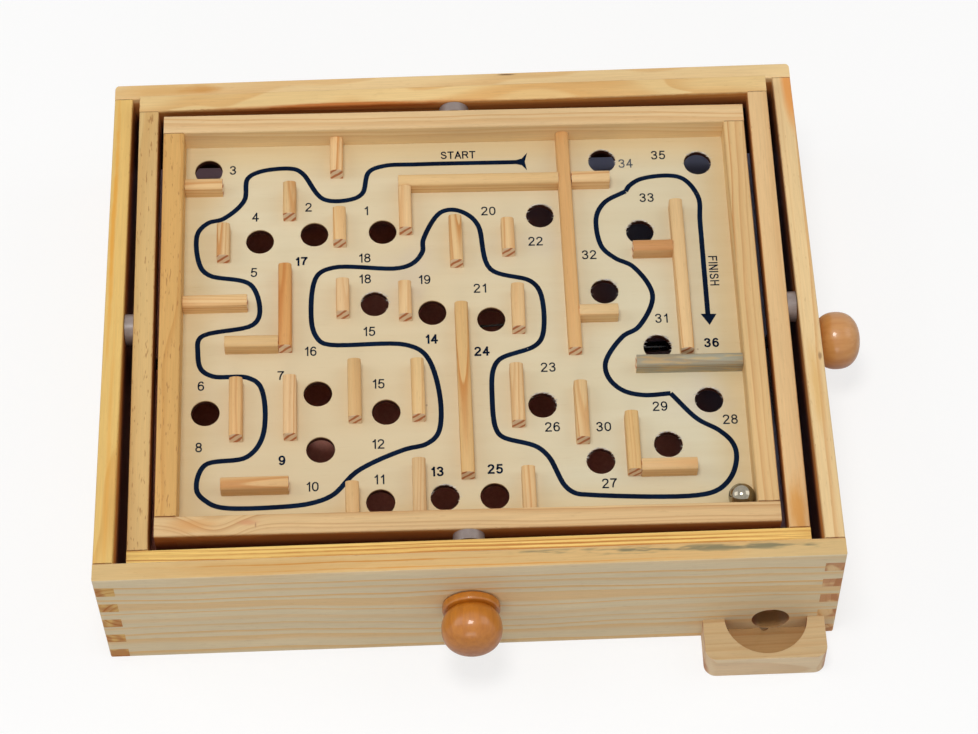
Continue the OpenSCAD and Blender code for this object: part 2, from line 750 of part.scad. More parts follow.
// A winding round a rod along the unit vector g, c its middle and h level and square to g.
// It comes on and goes off under the rod, a0 and a1 degrees to either side of the lowest line.
wind_steps = 24;
function winding(c, g, h, a0, a1) = let (
    all = cord_turns * 360 + a0 + a1,
    n = ceil(wind_steps * all / 360)
) [for (i = [0:n]) let (a = -a0 + all * i / n)
    c + g * cord_pitch * cord_turns * (i / n - 0.5) + wind_r * (sin(a) * h - cos(a) * [0, 0, 1])];

// Degrees from a rod's lowest line at which a straight run to the point e leaves it
function lead(c, h, e) = let (u = abs((e - c) * h), v = (e - c)[2])
    90 + atan2(v, u) - acos(wind_r / norm([u, v]));

// The point of a screw eye's wire that a cord pulls on, for an eye under the point o of a
// rail, f being the way to the rod
function eye_pull(o, f) = o + [0, 0, -eye_drop] + eye_r * f;

// A spring from an eye's wire at e towards the point c: a hook, the coils and a second hook
// that stands square to the first. The cord's own hook takes the wire of the second one.
spring_lead = 2.2;
lead_bend = 0.55;
coil_steps = 8;
ring_steps = 6;
ring_sweep = 210;
spring_turns = spring_coils + 1 / 4;
spring_l = spring_turns * (spring_wire + coil_gap);
spring_reach = 2 * spring_lead + spring_l + hook_r;
function spring_path(e, c, s) = let (
    d = unit(c - e),
    n = cross(d, s),
    m = coil_steps * spring_turns,
    near = e + d * spring_lead,
    far = near + d * (spring_l + spring_lead)
) concat(
    [for (i = [0:ring_steps]) let (a = 90 - ring_sweep * (1 - i / ring_steps))
        e + hook_r * (sin(a) * s - cos(a) * d)],
    [e + d * spring_lead * lead_bend + s * (hook_r + spring_r) / 2],
    [for (i = [0:m]) let (a = 360 * i / coil_steps)
        near + d * spring_l * i / m + spring_r * (cos(a) * s + sin(a) * n)],
    [far - d * spring_lead * lead_bend + n * (hook_r + spring_r) / 2],
    [for (i = [0:ring_steps]) let (a = ring_sweep * i / ring_steps)
        far + hook_r * (cos(a) * n + sin(a) * d)]
);

// A cord that hooks round a wire at e0, winds round its rod and hooks round a wire at e1
function cord_path(c, g, h, e0, e1) = let (
    first = hook(e0, unit(c - e0), -g),
    last = hook(e1, unit(c - e1), g)
) concat(
    [for (i = [len(first) - 1:-1:0]) first[i]],
    winding(c, g, h, lead(c, h, e0), lead(c, h, e1)),
    last
);

front_rod_c = [0, front_cord_y, front_rod_z];
side_rod_c = [frame_eye_x, 0, side_rod_z];
front_eyes = [for (s = [-1, 1])
    board_point(eye_pull([s * board_eye_x, front_cord_y, board_bottom], [-s, 0, 0]))];
side_eyes = [for (s = [-1, 1])
    frame_point(eye_pull([frame_eye_x, s * frame_eye_y, frame_bottom], [0, -s, 0]))];
front_spring_path = spring_path(front_eyes[0], front_rod_c, [0, -1, 0]);
side_spring_path = spring_path(side_eyes[1], side_rod_c, [1, 0, 0]);
front_hook = front_eyes[0] + unit(front_rod_c - front_eyes[0]) * spring_reach;
side_hook = side_eyes[1] + unit(side_rod_c - side_eyes[1]) * spring_reach;
front_cord_path = cord_path(front_rod_c, [0, 1, 0], [1, 0, 0], front_hook, front_eyes[1]);
side_cord_path = cord_path(side_rod_c, [1, 0, 0], [0, 1, 0], side_eyes[0], side_hook);
echo(front_cord_least_gap = least_gap(front_cord_path, cord_d));
echo(side_cord_least_gap = least_gap(side_cord_path, cord_d));
echo(front_spring_least_gap = least_gap(front_spring_path, spring_wire));
echo(side_spring_least_gap = least_gap(side_spring_path, spring_wire));

tube_sides = 6;
module front_cord() { color(CORD) tube(front_cord_path, cord_d / 2, tube_sides); }
module side_cord() { color(CORD) tube(side_cord_path, cord_d / 2, tube_sides); }
module front_spring() { color(STEEL) tube(front_spring_path, spring_wire / 2, tube_sides); }
module side_spring() { color(STEEL) tube(side_spring_path, spring_wire / 2, tube_sides); }

front_wall();
back_wall();
left_wall();
right_wall();
base_panel();
base_nails();
ball_floor();
floor_bearers();
guide_block();
catch_tray();
frame_front_rail();
frame_back_rail();
frame_left_rail();
frame_right_rail();
side_pivot_pins();
side_pivot_discs();
frame_screw_eyes();
maze_panel();
board_front_rail();
board_back_rail();
board_left_rail();
board_right_rail();
long_strips();
cross_strips();
end_pivot_pins();
end_pivot_discs();
board_screw_eyes();
front_knob();
front_rod();
front_stop_ring();
side_knob();
side_rod();
side_stop_ring();
front_cord();
side_cord();
front_spring();
side_spring();
steel_ball();
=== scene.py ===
"""Looks of the hand balance board.

Metres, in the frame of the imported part: +Z up, +Y to the back, origin under the middle of the
box. The maze board stands tipped, so what lies on it is worked out level and then turned.
"""
import json
import math

import bmesh
import bpy
import numpy as np
from mathutils import Matrix, Vector


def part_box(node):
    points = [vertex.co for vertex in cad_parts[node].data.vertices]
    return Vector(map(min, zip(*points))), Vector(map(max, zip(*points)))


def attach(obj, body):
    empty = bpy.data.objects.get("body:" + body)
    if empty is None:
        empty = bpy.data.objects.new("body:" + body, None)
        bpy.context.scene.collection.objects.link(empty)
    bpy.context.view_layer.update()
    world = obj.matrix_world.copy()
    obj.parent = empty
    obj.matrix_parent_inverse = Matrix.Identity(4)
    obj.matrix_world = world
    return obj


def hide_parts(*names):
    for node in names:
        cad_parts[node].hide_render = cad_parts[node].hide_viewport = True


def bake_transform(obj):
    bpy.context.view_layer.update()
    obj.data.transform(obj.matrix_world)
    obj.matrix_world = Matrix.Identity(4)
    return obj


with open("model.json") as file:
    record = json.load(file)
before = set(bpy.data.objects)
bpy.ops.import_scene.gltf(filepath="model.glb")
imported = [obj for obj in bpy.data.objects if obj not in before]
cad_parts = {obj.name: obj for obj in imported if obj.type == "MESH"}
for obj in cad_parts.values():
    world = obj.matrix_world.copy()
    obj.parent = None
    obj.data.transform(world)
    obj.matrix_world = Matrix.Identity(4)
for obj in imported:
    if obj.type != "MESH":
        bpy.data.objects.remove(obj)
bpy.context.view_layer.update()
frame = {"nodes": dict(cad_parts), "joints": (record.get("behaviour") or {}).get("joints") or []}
NODES = frame["nodes"]
MM = 0.001

# How the two frames stand at rest, from the axes of the joints
JOINTS = {joint["name"]: joint for joint in frame["joints"]}
PIVOT = Vector(JOINTS["frame_tilt"]["pos_m"])
_, along, up = JOINTS["board_tilt"]["axis"]
FRAME_TILT = math.atan2(up, along)
roll = JOINTS["ball_roll"]["axis"]
BOARD_TILT = math.atan2(roll[2] / math.cos(FRAME_TILT), -roll[0])
LEVEL = Matrix.Identity(3)
FRAME_TURN = Matrix.Rotation(FRAME_TILT, 3, "X")
BOARD_TURN = FRAME_TURN @ Matrix.Rotation(BOARD_TILT, 3, "Y")

# Grain runs along X unless a piece is turned so that its own length lies along X
ALONG_X = Matrix.Identity(3)
ALONG_Y = Matrix.Rotation(math.radians(-90), 3, "Z")

# Half widths and half depths in mm, level: inside the case, outside and inside the middle
# frame, outside the maze board and of its playing field
CASE_IN, FRAME_OUT, FRAME_IN = (142, 118), (138, 115), (129.5, 106.5)
BOARD_OUT, FIELD = (127, 102), (118, 93)

# Heights over the pivots: the frames' tops, and the top of the tray round its cup
TOP_LEVEL = 6.5 * MM
CUP_LEVEL = 14 * MM - PIVOT.z
CUP_PLACE, CUP_R = (121 * MM, -126 * MM, 0), 17.05 * MM


def srgb(red, green, blue):
    """A screen colour from 0 to 255 as linear red, green, blue and alpha."""
    value = np.array([red, green, blue]) / 255
    linear = np.where(value <= 0.04045, value / 12.92, ((value + 0.055) / 1.055) ** 2.4)
    return (*linear.tolist(), 1.0)


# Shader nodes


class Value:
    """A node's output: a number, a vector or a colour. Each sum, product or other operation
    on it adds the node that works it out."""

    def __init__(self, socket):
        self.socket, self.tree = socket, socket.id_data

    def calc(self, operation, *others):
        kind = "ShaderNodeMath" if self.socket.type == "VALUE" else "ShaderNodeVectorMath"
        return result(self.tree, kind, enumerate((self, *others)), operation=operation)

    def __add__(self, other):
        return self.calc("ADD", other)

    def __sub__(self, other):
        return self.calc("SUBTRACT", other)

    def __rsub__(self, other):
        return self * -1 + other

    def __mul__(self, other):
        return self.calc("MULTIPLY", other)

    def __truediv__(self, other):
        return self.calc("DIVIDE", other)

    def __pow__(self, other):
        return self.calc("POWER", other)

    def __abs__(self):
        return self.calc("ABSOLUTE")

    def length(self):
        return result(self.tree, "ShaderNodeVectorMath", {0: self}, "Value", operation="LENGTH")


def feed(node, inputs):
    """Sets inputs of a node, by name or number, to plain values or to other nodes' outputs."""
    for key, item in dict(inputs).items():
        if isinstance(item, Value):
            item.tree.links.new(item.socket, node.inputs[key])
        else:
            node.inputs[key].default_value = item


def put(tree, kind, inputs=(), **settings):
    """Adds a node with its settings and inputs."""
    made = tree.nodes.new(kind)
    for name, setting in settings.items():
        setattr(made, name, setting)
    feed(made, inputs)
    return made


def result(tree, kind, inputs=(), output=0, **settings):
    """One output of a new node."""
    return Value(put(tree, kind, inputs, **settings).outputs[output])


def xyz(vector):
    """The three numbers of a vector."""
    return [Value(part) for part in put(vector.tree, "ShaderNodeSeparateXYZ", {0: vector}).outputs]


def ramp(value, low, high, out_low=0.0, out_high=1.0, kind="SMOOTHSTEP"):
    """Value carried from low..high to out_low..out_high, smoothly or in a straight line."""
    return result(value.tree, "ShaderNodeMapRange",
                  enumerate((value, low, high, out_low, out_high)),
                  interpolation_type=kind, clamp=True)


def mix(share, first, second, how="MIX"):
    """Two colours mixed by a share from 0 to 1."""
    tree = next(item.tree for item in (share, first, second) if isinstance(item, Value))
    return result(tree, "ShaderNodeMix", {0: share, 6: first, 7: second}, 2,
                  data_type="RGBA", blend_type=how)


def tint(share, color, by):
    """A colour and its product with another, mixed by a share."""
    return mix(share, color, by, "MULTIPLY")


def noise(at, scale, seed, detail=2.0, roughness=0.5, output="Fac"):
    """Soft noise from 0 to 1 with scale features to a metre, one number or one for each axis."""
    scale = scale if isinstance(scale, tuple) else (scale, scale, scale)
    return result(at.tree, "ShaderNodeTexNoise",
                  {"Scale": 1.0, "Detail": detail, "Roughness": roughness, "W": seed,
                   "Vector": at * scale}, output, noise_dimensions="4D")


def group_tree(name, inputs, outputs):
    """An empty node group with its sockets: what comes in by name, and the node it ends at."""
    tree = bpy.data.node_groups.new(name, "ShaderNodeTree")
    for way, sockets in (("INPUT", inputs), ("OUTPUT", outputs)):
        for label, kind in sockets.items():
            tree.interface.new_socket(label, in_out=way, socket_type="NodeSocket" + kind)
    inner = tree.nodes.new("NodeGroupInput").outputs
    return {label: Value(inner[label]) for label in inputs}, tree.nodes.new("NodeGroupOutput")


def pine_grain_group():
    """Pine sawn along X. Rings are shells round a pith line beside the piece: the distance to
    that line, bent by soft noise, over the ring width. In each ring the colour climbs slowly
    from early to late wood and drops back at once. Fine fibres and brown flecks run along X."""
    inner, end = group_tree(
        "pine grain",
        {"Vector": "Vector", "Normal": "Vector", "Pith": "Vector", "Ring Width": "Float",
         "Wander": "Float", "Seed": "Float", "Early": "Color", "Late": "Color",
         "Contrast": "Float", "Flecks": "Float", "End Tint": "Color"},
        {"Color": "Color", "Roughness": "Float", "Height": "Float"})
    at, seed = inner["Vector"], inner["Seed"]
    bend = noise(at, (9, 26, 26), seed, 2.0, 0.45, "Color") - (0.5, 0.5, 0.5)
    x, y, z = xyz(at + bend * inner["Wander"] - inner["Pith"])
    taper = x * 0.012
    rings = ((y * y + z * z) ** 0.5 + taper) / inner["Ring Width"]
    uneven = result(at.tree, "ShaderNodeTexNoise",
                    {"Scale": 1.0, "Detail": 1.0, "W": rings * 0.55 + seed}, "Fac",
                    noise_dimensions="1D")
    rings = uneven * 2.2 + rings
    share = rings.calc("FRACT")
    rise = ramp(share, 0.3, 0.92) ** 1.5
    drop = ramp(share, 0.93, 1.0, 1.0, 0.0)
    each = result(at.tree, "ShaderNodeTexWhiteNoise", {"W": rings.calc("FLOOR") + seed}, "Value",
                  noise_dimensions="1D")
    late = rise * drop * ramp(each, 0.0, 1.0, 0.25, 1.0, "LINEAR")
    fibre = noise(at, (60, 1500, 1500), seed, 2.0, 0.6)
    tone = noise(at, (7, 40, 40), seed, 2.0, 0.5)
    fleck = ramp(noise(at, (230, 1300, 1300), seed, 1.0, 0.5), 0.62, 0.72)
    light = (ramp(fibre, 0.3, 0.7, 0.93, 1.04, "LINEAR")
             + ramp(tone, 0.3, 0.7, -0.07, 0.06, "LINEAR"))
    color = tint(1.0, mix(late * inner["Contrast"], inner["Early"], inner["Late"]), light)
    color = mix(fleck * inner["Flecks"], color, srgb(158, 104, 56))
    at_end = ramp(abs(xyz(inner["Normal"])[0]), 0.5, 0.9)
    soaked = ramp(noise(at, (90, 130, 130), seed, 1.0, 0.5), 0.42, 0.54, 0.2, 0.9)
    color = tint(at_end * soaked, color, inner["End Tint"])
    feed(end, {"Color": color, "Roughness": ramp(fibre, 0.25, 0.75, 0.42, 0.60),
               "Height": late * 0.5 + fibre})
    return at.tree


PINE_GRAIN = pine_grain_group()


def piece_axes(tree, stands, grain):
    """Position and normal of a piece as it lies level, its pivot at 0 and its grain along X."""
    turn = grain @ stands.transposed()
    where = put(tree, "ShaderNodeTexCoord").outputs
    at = result(tree, "ShaderNodeMapping",
                {"Vector": Value(where["Object"]), "Rotation": turn.to_euler("XYZ"),
                 "Location": -(turn @ PIVOT)}, vector_type="POINT")
    facing = result(tree, "ShaderNodeMapping",
                    {"Vector": Value(where["Normal"]), "Rotation": turn.to_euler("XYZ")},
                    vector_type="VECTOR")
    return at, facing


def new_finish(name, stands=LEVEL, grain=ALONG_X, axes=piece_axes):
    """A new material, and the position and normal that its pattern follows."""
    made = bpy.data.materials.new(name)
    made.use_nodes = True
    return made, *axes(made.node_tree, stands, grain)


def surface(made, color, roughness, relief=None, depth=0.0, strength=1.0, plain=()):
    """Gives a material its colour and roughness, a relief of a depth in mm, and plain values."""
    shader = made.node_tree.nodes["Principled BSDF"]
    feed(shader, {"Base Color": color, "Roughness": roughness, **dict(plain)})
    if relief:
        feed(shader, {"Normal": result(
            made.node_tree, "ShaderNodeBump",
            {"Height": relief, "Distance": depth * MM, "Strength": strength})})
    return made


def beyond(x, y, half_x, half_y):
    """How far a place lies outside a level box of a half width and half depth in mm."""
    return (abs(x) - half_x * MM).calc("MAXIMUM", abs(y) - half_y * MM)


def painted_gap_shade_and_torn_edge(color, room, stands):
    """Paints shade onto upright faces that look into a gap, darker the deeper they lie below their
    top edge, and darkens the torn fibres along that edge. room holds half of the width and depth
    of the box, level, that the gap's faces lie inside or outside of, which of the two, and half
    sizes of the gap's edges."""
    at, facing = piece_axes(color.tree, stands, ALONG_X)
    x, y, z = xyz(at)
    to_top = xyz(facing)[2]
    upright = ramp(abs(to_top), 0.5, 0.8, 1.0, 0.0)
    half_x, half_y, within, edges = room
    inside = ramp(beyond(x, y, half_x, half_y), -0.02 * MM, 0.02 * MM,
                  float(within), float(not within), "LINEAR")
    depth = TOP_LEVEL - z - noise(at, (350, 350, 60), 3.0, 2.0, 0.6) * (1.2 * MM)
    # painted shade: warmer just below the top edge, then orange-brown, maroon and near black
    # deeper into the gap
    below = tint(ramp(depth, -0.6 * MM, 1.2 * MM), color, srgb(226, 184, 142))
    for low, high, most, shade in ((1, 4, 0.7, (190, 120, 62)), (5, 10, 0.85, (116, 60, 36)),
                                   (8, 16, 0.85, (38, 18, 20))):
        below = mix(ramp(depth, low * MM, high * MM, 0.0, most), below, srgb(*shade))
    color = mix(upright * inside, color, below)
    near = 1.0
    for edge in edges:
        near = abs(beyond(x, y, *edge)).calc("MINIMUM", near)
    spread = ramp(noise(at, 40, 9.0, 1.0, 0.5), 0.35, 0.65, 0.55, 1.25)
    torn = noise(at, 420, 8.0, 2.0, 0.6) * spread
    worn = ramp(torn * (1.2 * MM) - near, 0.42 * MM, 0.75 * MM)
    return mix(worn * ramp(to_top, 0.5, 0.8) * 0.6, color, srgb(150, 92, 46))


def pine(name, seed, early, late, stands=LEVEL, grain=ALONG_X, pith=(0, 0.01, -0.05),
         ring=2.6, wander=7, contrast=0.7, flecks=0.1, end=(216, 178, 168), after=(),
         axes=piece_axes, top=None, gaps=None, joint=None, inner=None, curl=None):
    """A sawn pine finish, its rings' width and wander in mm. The functions in after lay stains,
    streaks, knots and painted shade in the front wall's bore and the tray's cup over it; top tints
    its upper face, painted shade on the tray and partly stain, partly painted shade on the front
    wall; gaps paints shade on its faces in a gap and darkens torn fibres along the gap's edge; and
    joint is how far from the middle, along the grain and in mm, the dark lines of its end joints
    lie. Upright faces nearer than inner to the middle, across the grain and in mm, are paler,
    painted light on the inner faces of the board's rails. curl bends the grain sideways round a
    knot, as a bell curve along it: its middle, its width and its rise."""
    made, at, facing = new_finish(name, stands, grain, axes)
    x, y, _ = xyz(at)
    up = xyz(facing)[2]
    bent = at
    if curl:
        middle, width, rise = curl
        away = (x - middle) / width
        bell = (away * away * -1).calc("EXPONENT")
        bent = at + result(at.tree, "ShaderNodeCombineXYZ", {1: bell * rise})
    grown = put(at.tree, "ShaderNodeGroup",
                {"Vector": bent, "Normal": facing, "Pith": pith, "Ring Width": ring * MM,
                 "Wander": wander * MM, "Seed": seed, "Early": srgb(*early),
                 "Late": srgb(*late), "Contrast": contrast, "Flecks": flecks,
                 "End Tint": srgb(*end)}, node_tree=PINE_GRAIN).outputs
    color = Value(grown["Color"])
    for lay in after:
        color = lay(at, color)
    # painted shade on the tray's top; on the front wall's top partly a yellower stain, partly
    # painted shade
    if top:
        color = tint(ramp(up, 0.6, 0.95), color, (*top, 1.0))
    # painted shade on the faces in a gap, and torn fibres along its edge
    if gaps:
        color = painted_gap_shade_and_torn_edge(color, gaps, stands)
    # painted light: upright inner faces of the board's rails made paler
    if inner:
        share = (ramp(abs(up), 0.5, 0.8, 1.0, 0.0)
                 * ramp(abs(y), (inner + 0.1) * MM, (inner + 0.3) * MM, 1.0, 0.0))
        color = tint(share, color, (1.1, 1.16, 1.2, 1))
    if joint:
        rough = noise(at, (200, 600, 600), 6.0, 2.0, 0.6)
        line = ramp(abs(abs(x) - joint * MM) - rough * (0.4 * MM), -0.06 * MM, 0.16 * MM,
                    0.85, 0.0)
        color = mix(line * ramp(up, 0.5, 0.8), color, srgb(84, 48, 26))
    return surface(made, color, Value(grown["Roughness"]), Value(grown["Height"]), 0.12, 0.35,
                   {"Specular IOR Level": 0.22})


def blue_stain(low, high, row):
    """Blue-grey sap stain in lengthwise patches, from low to high along the grain and round
    the line at row across it, in mm."""
    def lay(at, color):
        x, y, z = xyz(at)
        patches = ramp(noise(at, (44, 300, 300), 3.0, 3.0, 0.6), 0.48, 0.62)
        span = (ramp(x, low * MM, (low + 40) * MM)
                * ramp(x, (high - 10) * MM, high * MM, 1.0, 0.0))
        near = ramp(abs(y - row * MM), 0.3 * MM, 2.8 * MM, 1.0, 0.0) * ramp(z, 5 * MM, 8 * MM)
        return mix(patches * span * near * 0.9, color, srgb(132, 137, 124))
    return lay


def small_knot(x, y, z, reach):
    """A small grey-brown knot, in mm: nearness to its middle, drawn out along the grain."""
    def lay(at, color):
        size = reach * MM
        away = (at - (x * MM, y * MM, z * MM)) * (0.4 / size, 1 / size, 1 / size)
        rough = noise(at, (300, 900, 900), 5.0, 2.0, 0.6)
        return mix(ramp(rough * 0.5 + away.length(), 0.5, 1.1, 0.7, 0.0), color,
                   srgb(134, 96, 66))
    return lay


def patch(x, y, long, wide, shade, share=0.6, torn=0.9):
    """A stain or streak in a top, in mm: nearness to its middle line, bent and torn by noise,
    fading downwards."""
    def lay(at, color):
        bend = noise(at, (16, 0, 0), y / 10, 1.0, 0.5) * (2 * MM) - 1 * MM
        away = at + result(at.tree, "ShaderNodeCombineXYZ", {1: bend}) - (x * MM, y * MM, 0)
        length = (away * (1 / (long * MM), 1 / (wide * MM), 0)).length()
        length = noise(at, (90, 500, 500), 5.0, 3.0, 0.65) * torn + length
        here = ramp(length, 0.6, 1.5, share, 0.0) * ramp(xyz(at)[2], 0.0, 6 * MM)
        return mix(here, color, srgb(*shade))
    return lay


def bore_painted_shade(x, z, radius):
    """Painted shade inside a bore through a wall, in mm: all that is nearer than its radius to its
    axis is darkened."""
    def lay(at, color):
        away = ((at - (x * MM, 0, z * MM)) * (1, 0, 1)).length()
        share = ramp(away, (radius + 0.05) * MM, (radius + 0.2) * MM, 1.0, 0.0)
        return tint(share, color, srgb(212, 190, 176))
    return lay


def cup_painted_shade(at, color):
    """Painted shade in the cup of the tray, below the tray's top."""
    low = ramp(xyz(at)[2], CUP_LEVEL - 0.6 * MM, CUP_LEVEL)
    away = ((at - CUP_PLACE) * (1, 1, 0)).length()
    cup = ramp(away, CUP_R, CUP_R + 0.15 * MM, 1.0, 0.0)
    return tint(cup * (1 - low), color, srgb(226, 208, 186))


def dress(node, material):
    """Gives a CAD node its finish."""
    piece = NODES[node]
    if not piece.material_slots:
        piece.data.materials.append(None)
    for place in piece.material_slots:
        place.link = "OBJECT"
        place.material = material


# Mesh helpers


def grid_faces(rows, columns, close_columns=False):
    """Quads between neighbouring points of a grid numbered row by row."""
    i = np.arange(rows - 1)
    j = np.arange(columns if close_columns else columns - 1)
    i, j = (k.ravel() for k in np.meshgrid(i, j, indexing="ij"))
    beside = (j + 1) % columns
    return np.stack([i * columns + j, i * columns + beside, (i + 1) * columns + beside,
                     (i + 1) * columns + j], -1)


def new_piece(name, points, faces, material, sharp=35.0, smooth=True):
    """An object from an array of points and a list of faces, smooth but at sharp edges."""
    mesh = bpy.data.meshes.new(name)
    mesh.from_pydata(np.asarray(points, float).tolist(), [], [list(map(int, f)) for f in faces])
    mesh.polygons.foreach_set("use_smooth", np.full(len(mesh.polygons), smooth))
    if smooth:
        mesh.set_sharp_from_angle(angle=math.radians(sharp))
    mesh.materials.append(material)
    mesh.validate()
    piece = bpy.data.objects.new(name, mesh)
    bpy.context.scene.collection.objects.link(piece)
    return piece


def joined(parts):
    """The points and faces of several shapes as those of one."""
    points, faces, start = [], [], 0
    for made, sides in parts:
        points.append(made)
        faces += [[start + k for k in f] for f in sides]
        start += len(made)
    return np.concatenate(points), faces


def turned(points, matrix):
    """Points turned about the pivot by a rotation."""
    pivot = np.array(PIVOT)
    return (np.asarray(points, float) - pivot) @ np.array(matrix).T + pivot


def lathe(outline, sides):
    """Points and faces of a turned shape: each point of the outline, a radius and a height,
    goes round the Z axis in equal steps. Its first and last radius are 0, one point each."""
    outline = np.asarray(outline, float)
    inner = outline[1:-1]
    angle = np.linspace(0, 2 * np.pi, sides, endpoint=False)
    rings = np.stack([inner[:, None, 0] * np.cos(angle), inner[:, None, 0] * np.sin(angle),
                      np.broadcast_to(inner[:, None, 1], (len(inner), sides))], -1)
    points = rings.reshape(-1, 3)
    first, last, start = len(points), len(points) + 1, (len(inner) - 1) * sides
    points = np.concatenate([points, [[0, 0, outline[0, 1]], [0, 0, outline[-1, 1]]]])
    faces = [list(f) for f in grid_faces(len(inner), sides, close_columns=True)]
    step = np.arange(sides)
    pairs = list(zip(step, (step + 1) % sides))
    faces += [[first, b, a] for a, b in pairs]
    faces += [[last, start + a, start + b] for a, b in pairs]
    return points, faces


def unit(vector):
    """Vectors brought to a length of 1."""
    return vector / np.linalg.norm(vector, axis=-1, keepdims=True)


def arc(center, radius, low, high, steps):
    """Points of an arc from one angle to another, in degrees."""
    angle = np.radians(np.linspace(low, high, steps))
    return [(center[0] + radius * math.cos(a), center[1] + radius * math.sin(a)) for a in angle]


# Finishes

# The maze panel's two faces, level
panel_points = turned([v.co for v in NODES["maze_panel"].data.vertices], BOARD_TURN.transposed())
PANEL_BOTTOM, PANEL_TOP = panel_points[:, 2].min(), panel_points[:, 2].max()


def birch_ply():
    """The printed panel: pale birch with faint wavy figure along X, soft clouds and specks,
    painted shade that is warmer and darker near the rails, and a cooler tone towards the right. On
    its edges and in its holes a pale band at the top and dark painted shade below it."""
    made, at, facing = new_finish("birch_ply", BOARD_TURN)
    fibre = noise(at, (130, 1500, 1500), 2.0, 2.0, 0.6)
    broad = noise(at, 6, 6.0, 1.0, 0.5)
    color = mix(ramp(noise(at, (9, 150, 150), 1.0, 3.0, 0.6), 0.3, 0.7),
                srgb(224, 210, 177), srgb(220, 204, 169))
    color = mix(ramp(broad, 0.35, 0.65, 0.0, 0.5), color, srgb(215, 190, 148))
    color = mix(ramp(noise(at, 17, 4.0, 3.0, 0.55), 0.58, 0.75, 0.0, 0.45), color,
                srgb(206, 190, 172))
    color = mix(ramp(fibre, 0.6, 0.8, 0.0, 0.25), color, srgb(196, 166, 122))
    x, y, height = xyz(at)
    rim = beyond(x, y, *FIELD) * -1
    # painted shade: warmer and darker near the rails round the field
    rail_painted_shade = ramp(broad * (16 * MM) + rim, 10 * MM, 28 * MM, 0.75, 0.0)
    color = tint(rail_painted_shade, color, (0.95, 0.88, 0.74, 1))
    cool = ramp(x, -20 * MM, 80 * MM) * (1 - rail_painted_shade)
    color = tint(cool, color, (0.97, 1.03, 1.1, 1))
    spots = put(at.tree, "ShaderNodeTexVoronoi",
                {"Vector": at, "Scale": 130.0, "Randomness": 1.0}).outputs
    speck = ramp(Value(spots["Distance"]), 0.03, 0.09, 1.0, 0.0)
    chosen = ramp(result(at.tree, "ShaderNodeSeparateColor", {0: Value(spots["Color"])}),
                  0.86, 0.9)
    color = mix(speck * chosen * 0.45, color, srgb(140, 112, 84))
    # painted shade: hole walls and edges dark below a pale band at the top
    bottom = PANEL_BOTTOM - PIVOT.z
    clear_of_hole_shade = ramp(height, bottom + 2.2 * MM, bottom + 2.45 * MM)
    edge = mix(clear_of_hole_shade, srgb(66, 32, 22), srgb(222, 194, 146))
    color = mix(ramp(abs(xyz(facing)[2]), 0.5, 0.8, 1.0, 0.0), color, edge)
    return surface(made, color, ramp(fibre, 0.3, 0.7, 0.5, 0.62), fibre, 0.05, 0.3,
                   {"Specular IOR Level": 0.25})


def hardboard(name, light, dark, far=None):
    """Pressed board: fine fibre noise in two sizes, and far on the right and along the back
    painted shade in another colour."""
    made, at, _ = new_finish(name)
    fine = noise(at, 900, 1.0, 3.0, 0.6)
    color = mix(ramp(fine, 0.3, 0.7), dark, light)
    color = mix(ramp(noise(at, 60, 2.0, 2.0, 0.5), 0.35, 0.7, 0.0, 0.4), color, dark)
    # painted shade seen down the holes: bluer and greyer along the back and far on the right
    if far:
        x, y, _ = xyz(at)
        back = ramp(y, 74 * MM, 84 * MM, 0.0, 0.6)
        right = ramp(y * 0.6 + x, 60 * MM, 110 * MM)
        color = mix(right.calc("MAXIMUM", back), color, far)
    return surface(made, color, ramp(fine, 0.3, 0.7, 0.5, 0.7), fine, 0.1, 0.4)


def varnished_wood(name, grain, light, dark, middle):
    """Amber varnish over turned wood: faint darker grain, painted shade that makes it darker and
    redder below the middle's height, and a smooth clear coat with a slight unevenness."""
    made, at, _ = new_finish(name, grain=grain)
    figure = noise(at, (40, 420, 420), 3.0, 3.0, 0.6)
    color = mix(ramp(figure, 0.35, 0.7), light, dark)
    color = mix(ramp(noise(at, 70, 5.0, 2.0, 0.5), 0.4, 0.7, 0.0, 0.5), color, dark)
    # painted shade: darker and redder on the knob's lower part
    low = ramp(xyz(at)[2] + PIVOT.z, middle - 5 * MM, middle + 6 * MM, 1.0, 0.0)
    color = tint(low, color, (0.78, 0.66, 0.95, 1))
    return surface(made, color, ramp(figure, 0.3, 0.7, 0.34, 0.44),
                   noise(at, 160, 7.0, 2.0, 0.5), 0.25, 0.25,
                   {"Coat Weight": 0.5, "Coat Roughness": 0.06})


def metal(name, color, rough, metallic=1.0, depth=0.02):
    """Metal or glossy paint: one colour, roughness and a slight ripple from fine noise."""
    made, at, _ = new_finish(name)
    fine = noise(at, 700, 2.0, 2.0, 0.6)
    darker = (*(0.8 * np.array(color[:3])).tolist(), 1.0)
    return surface(made, mix(ramp(fine, 0.35, 0.7), color, darker),
                   ramp(fine, 0.3, 0.7, rough * 0.8, rough * 1.25), fine, depth, 0.3,
                   {"Metallic": metallic})


def nylon():
    """Greyish nylon: faintly mottled, softly glossy."""
    made, at, _ = new_finish("nylon")
    soft = noise(at, 260, 2.0, 3.0, 0.6)
    return surface(made, mix(ramp(soft, 0.3, 0.7), srgb(146, 132, 127), srgb(130, 117, 112)),
                   ramp(soft, 0.3, 0.7, 0.3, 0.42), soft, 0.05, 0.3)


def cord_axes(tree, stands, grain):
    """How far along a cord and how far round it a place lies."""
    return xyz(result(tree, "ShaderNodeUVMap", uv_map="UVMap"))[:2]


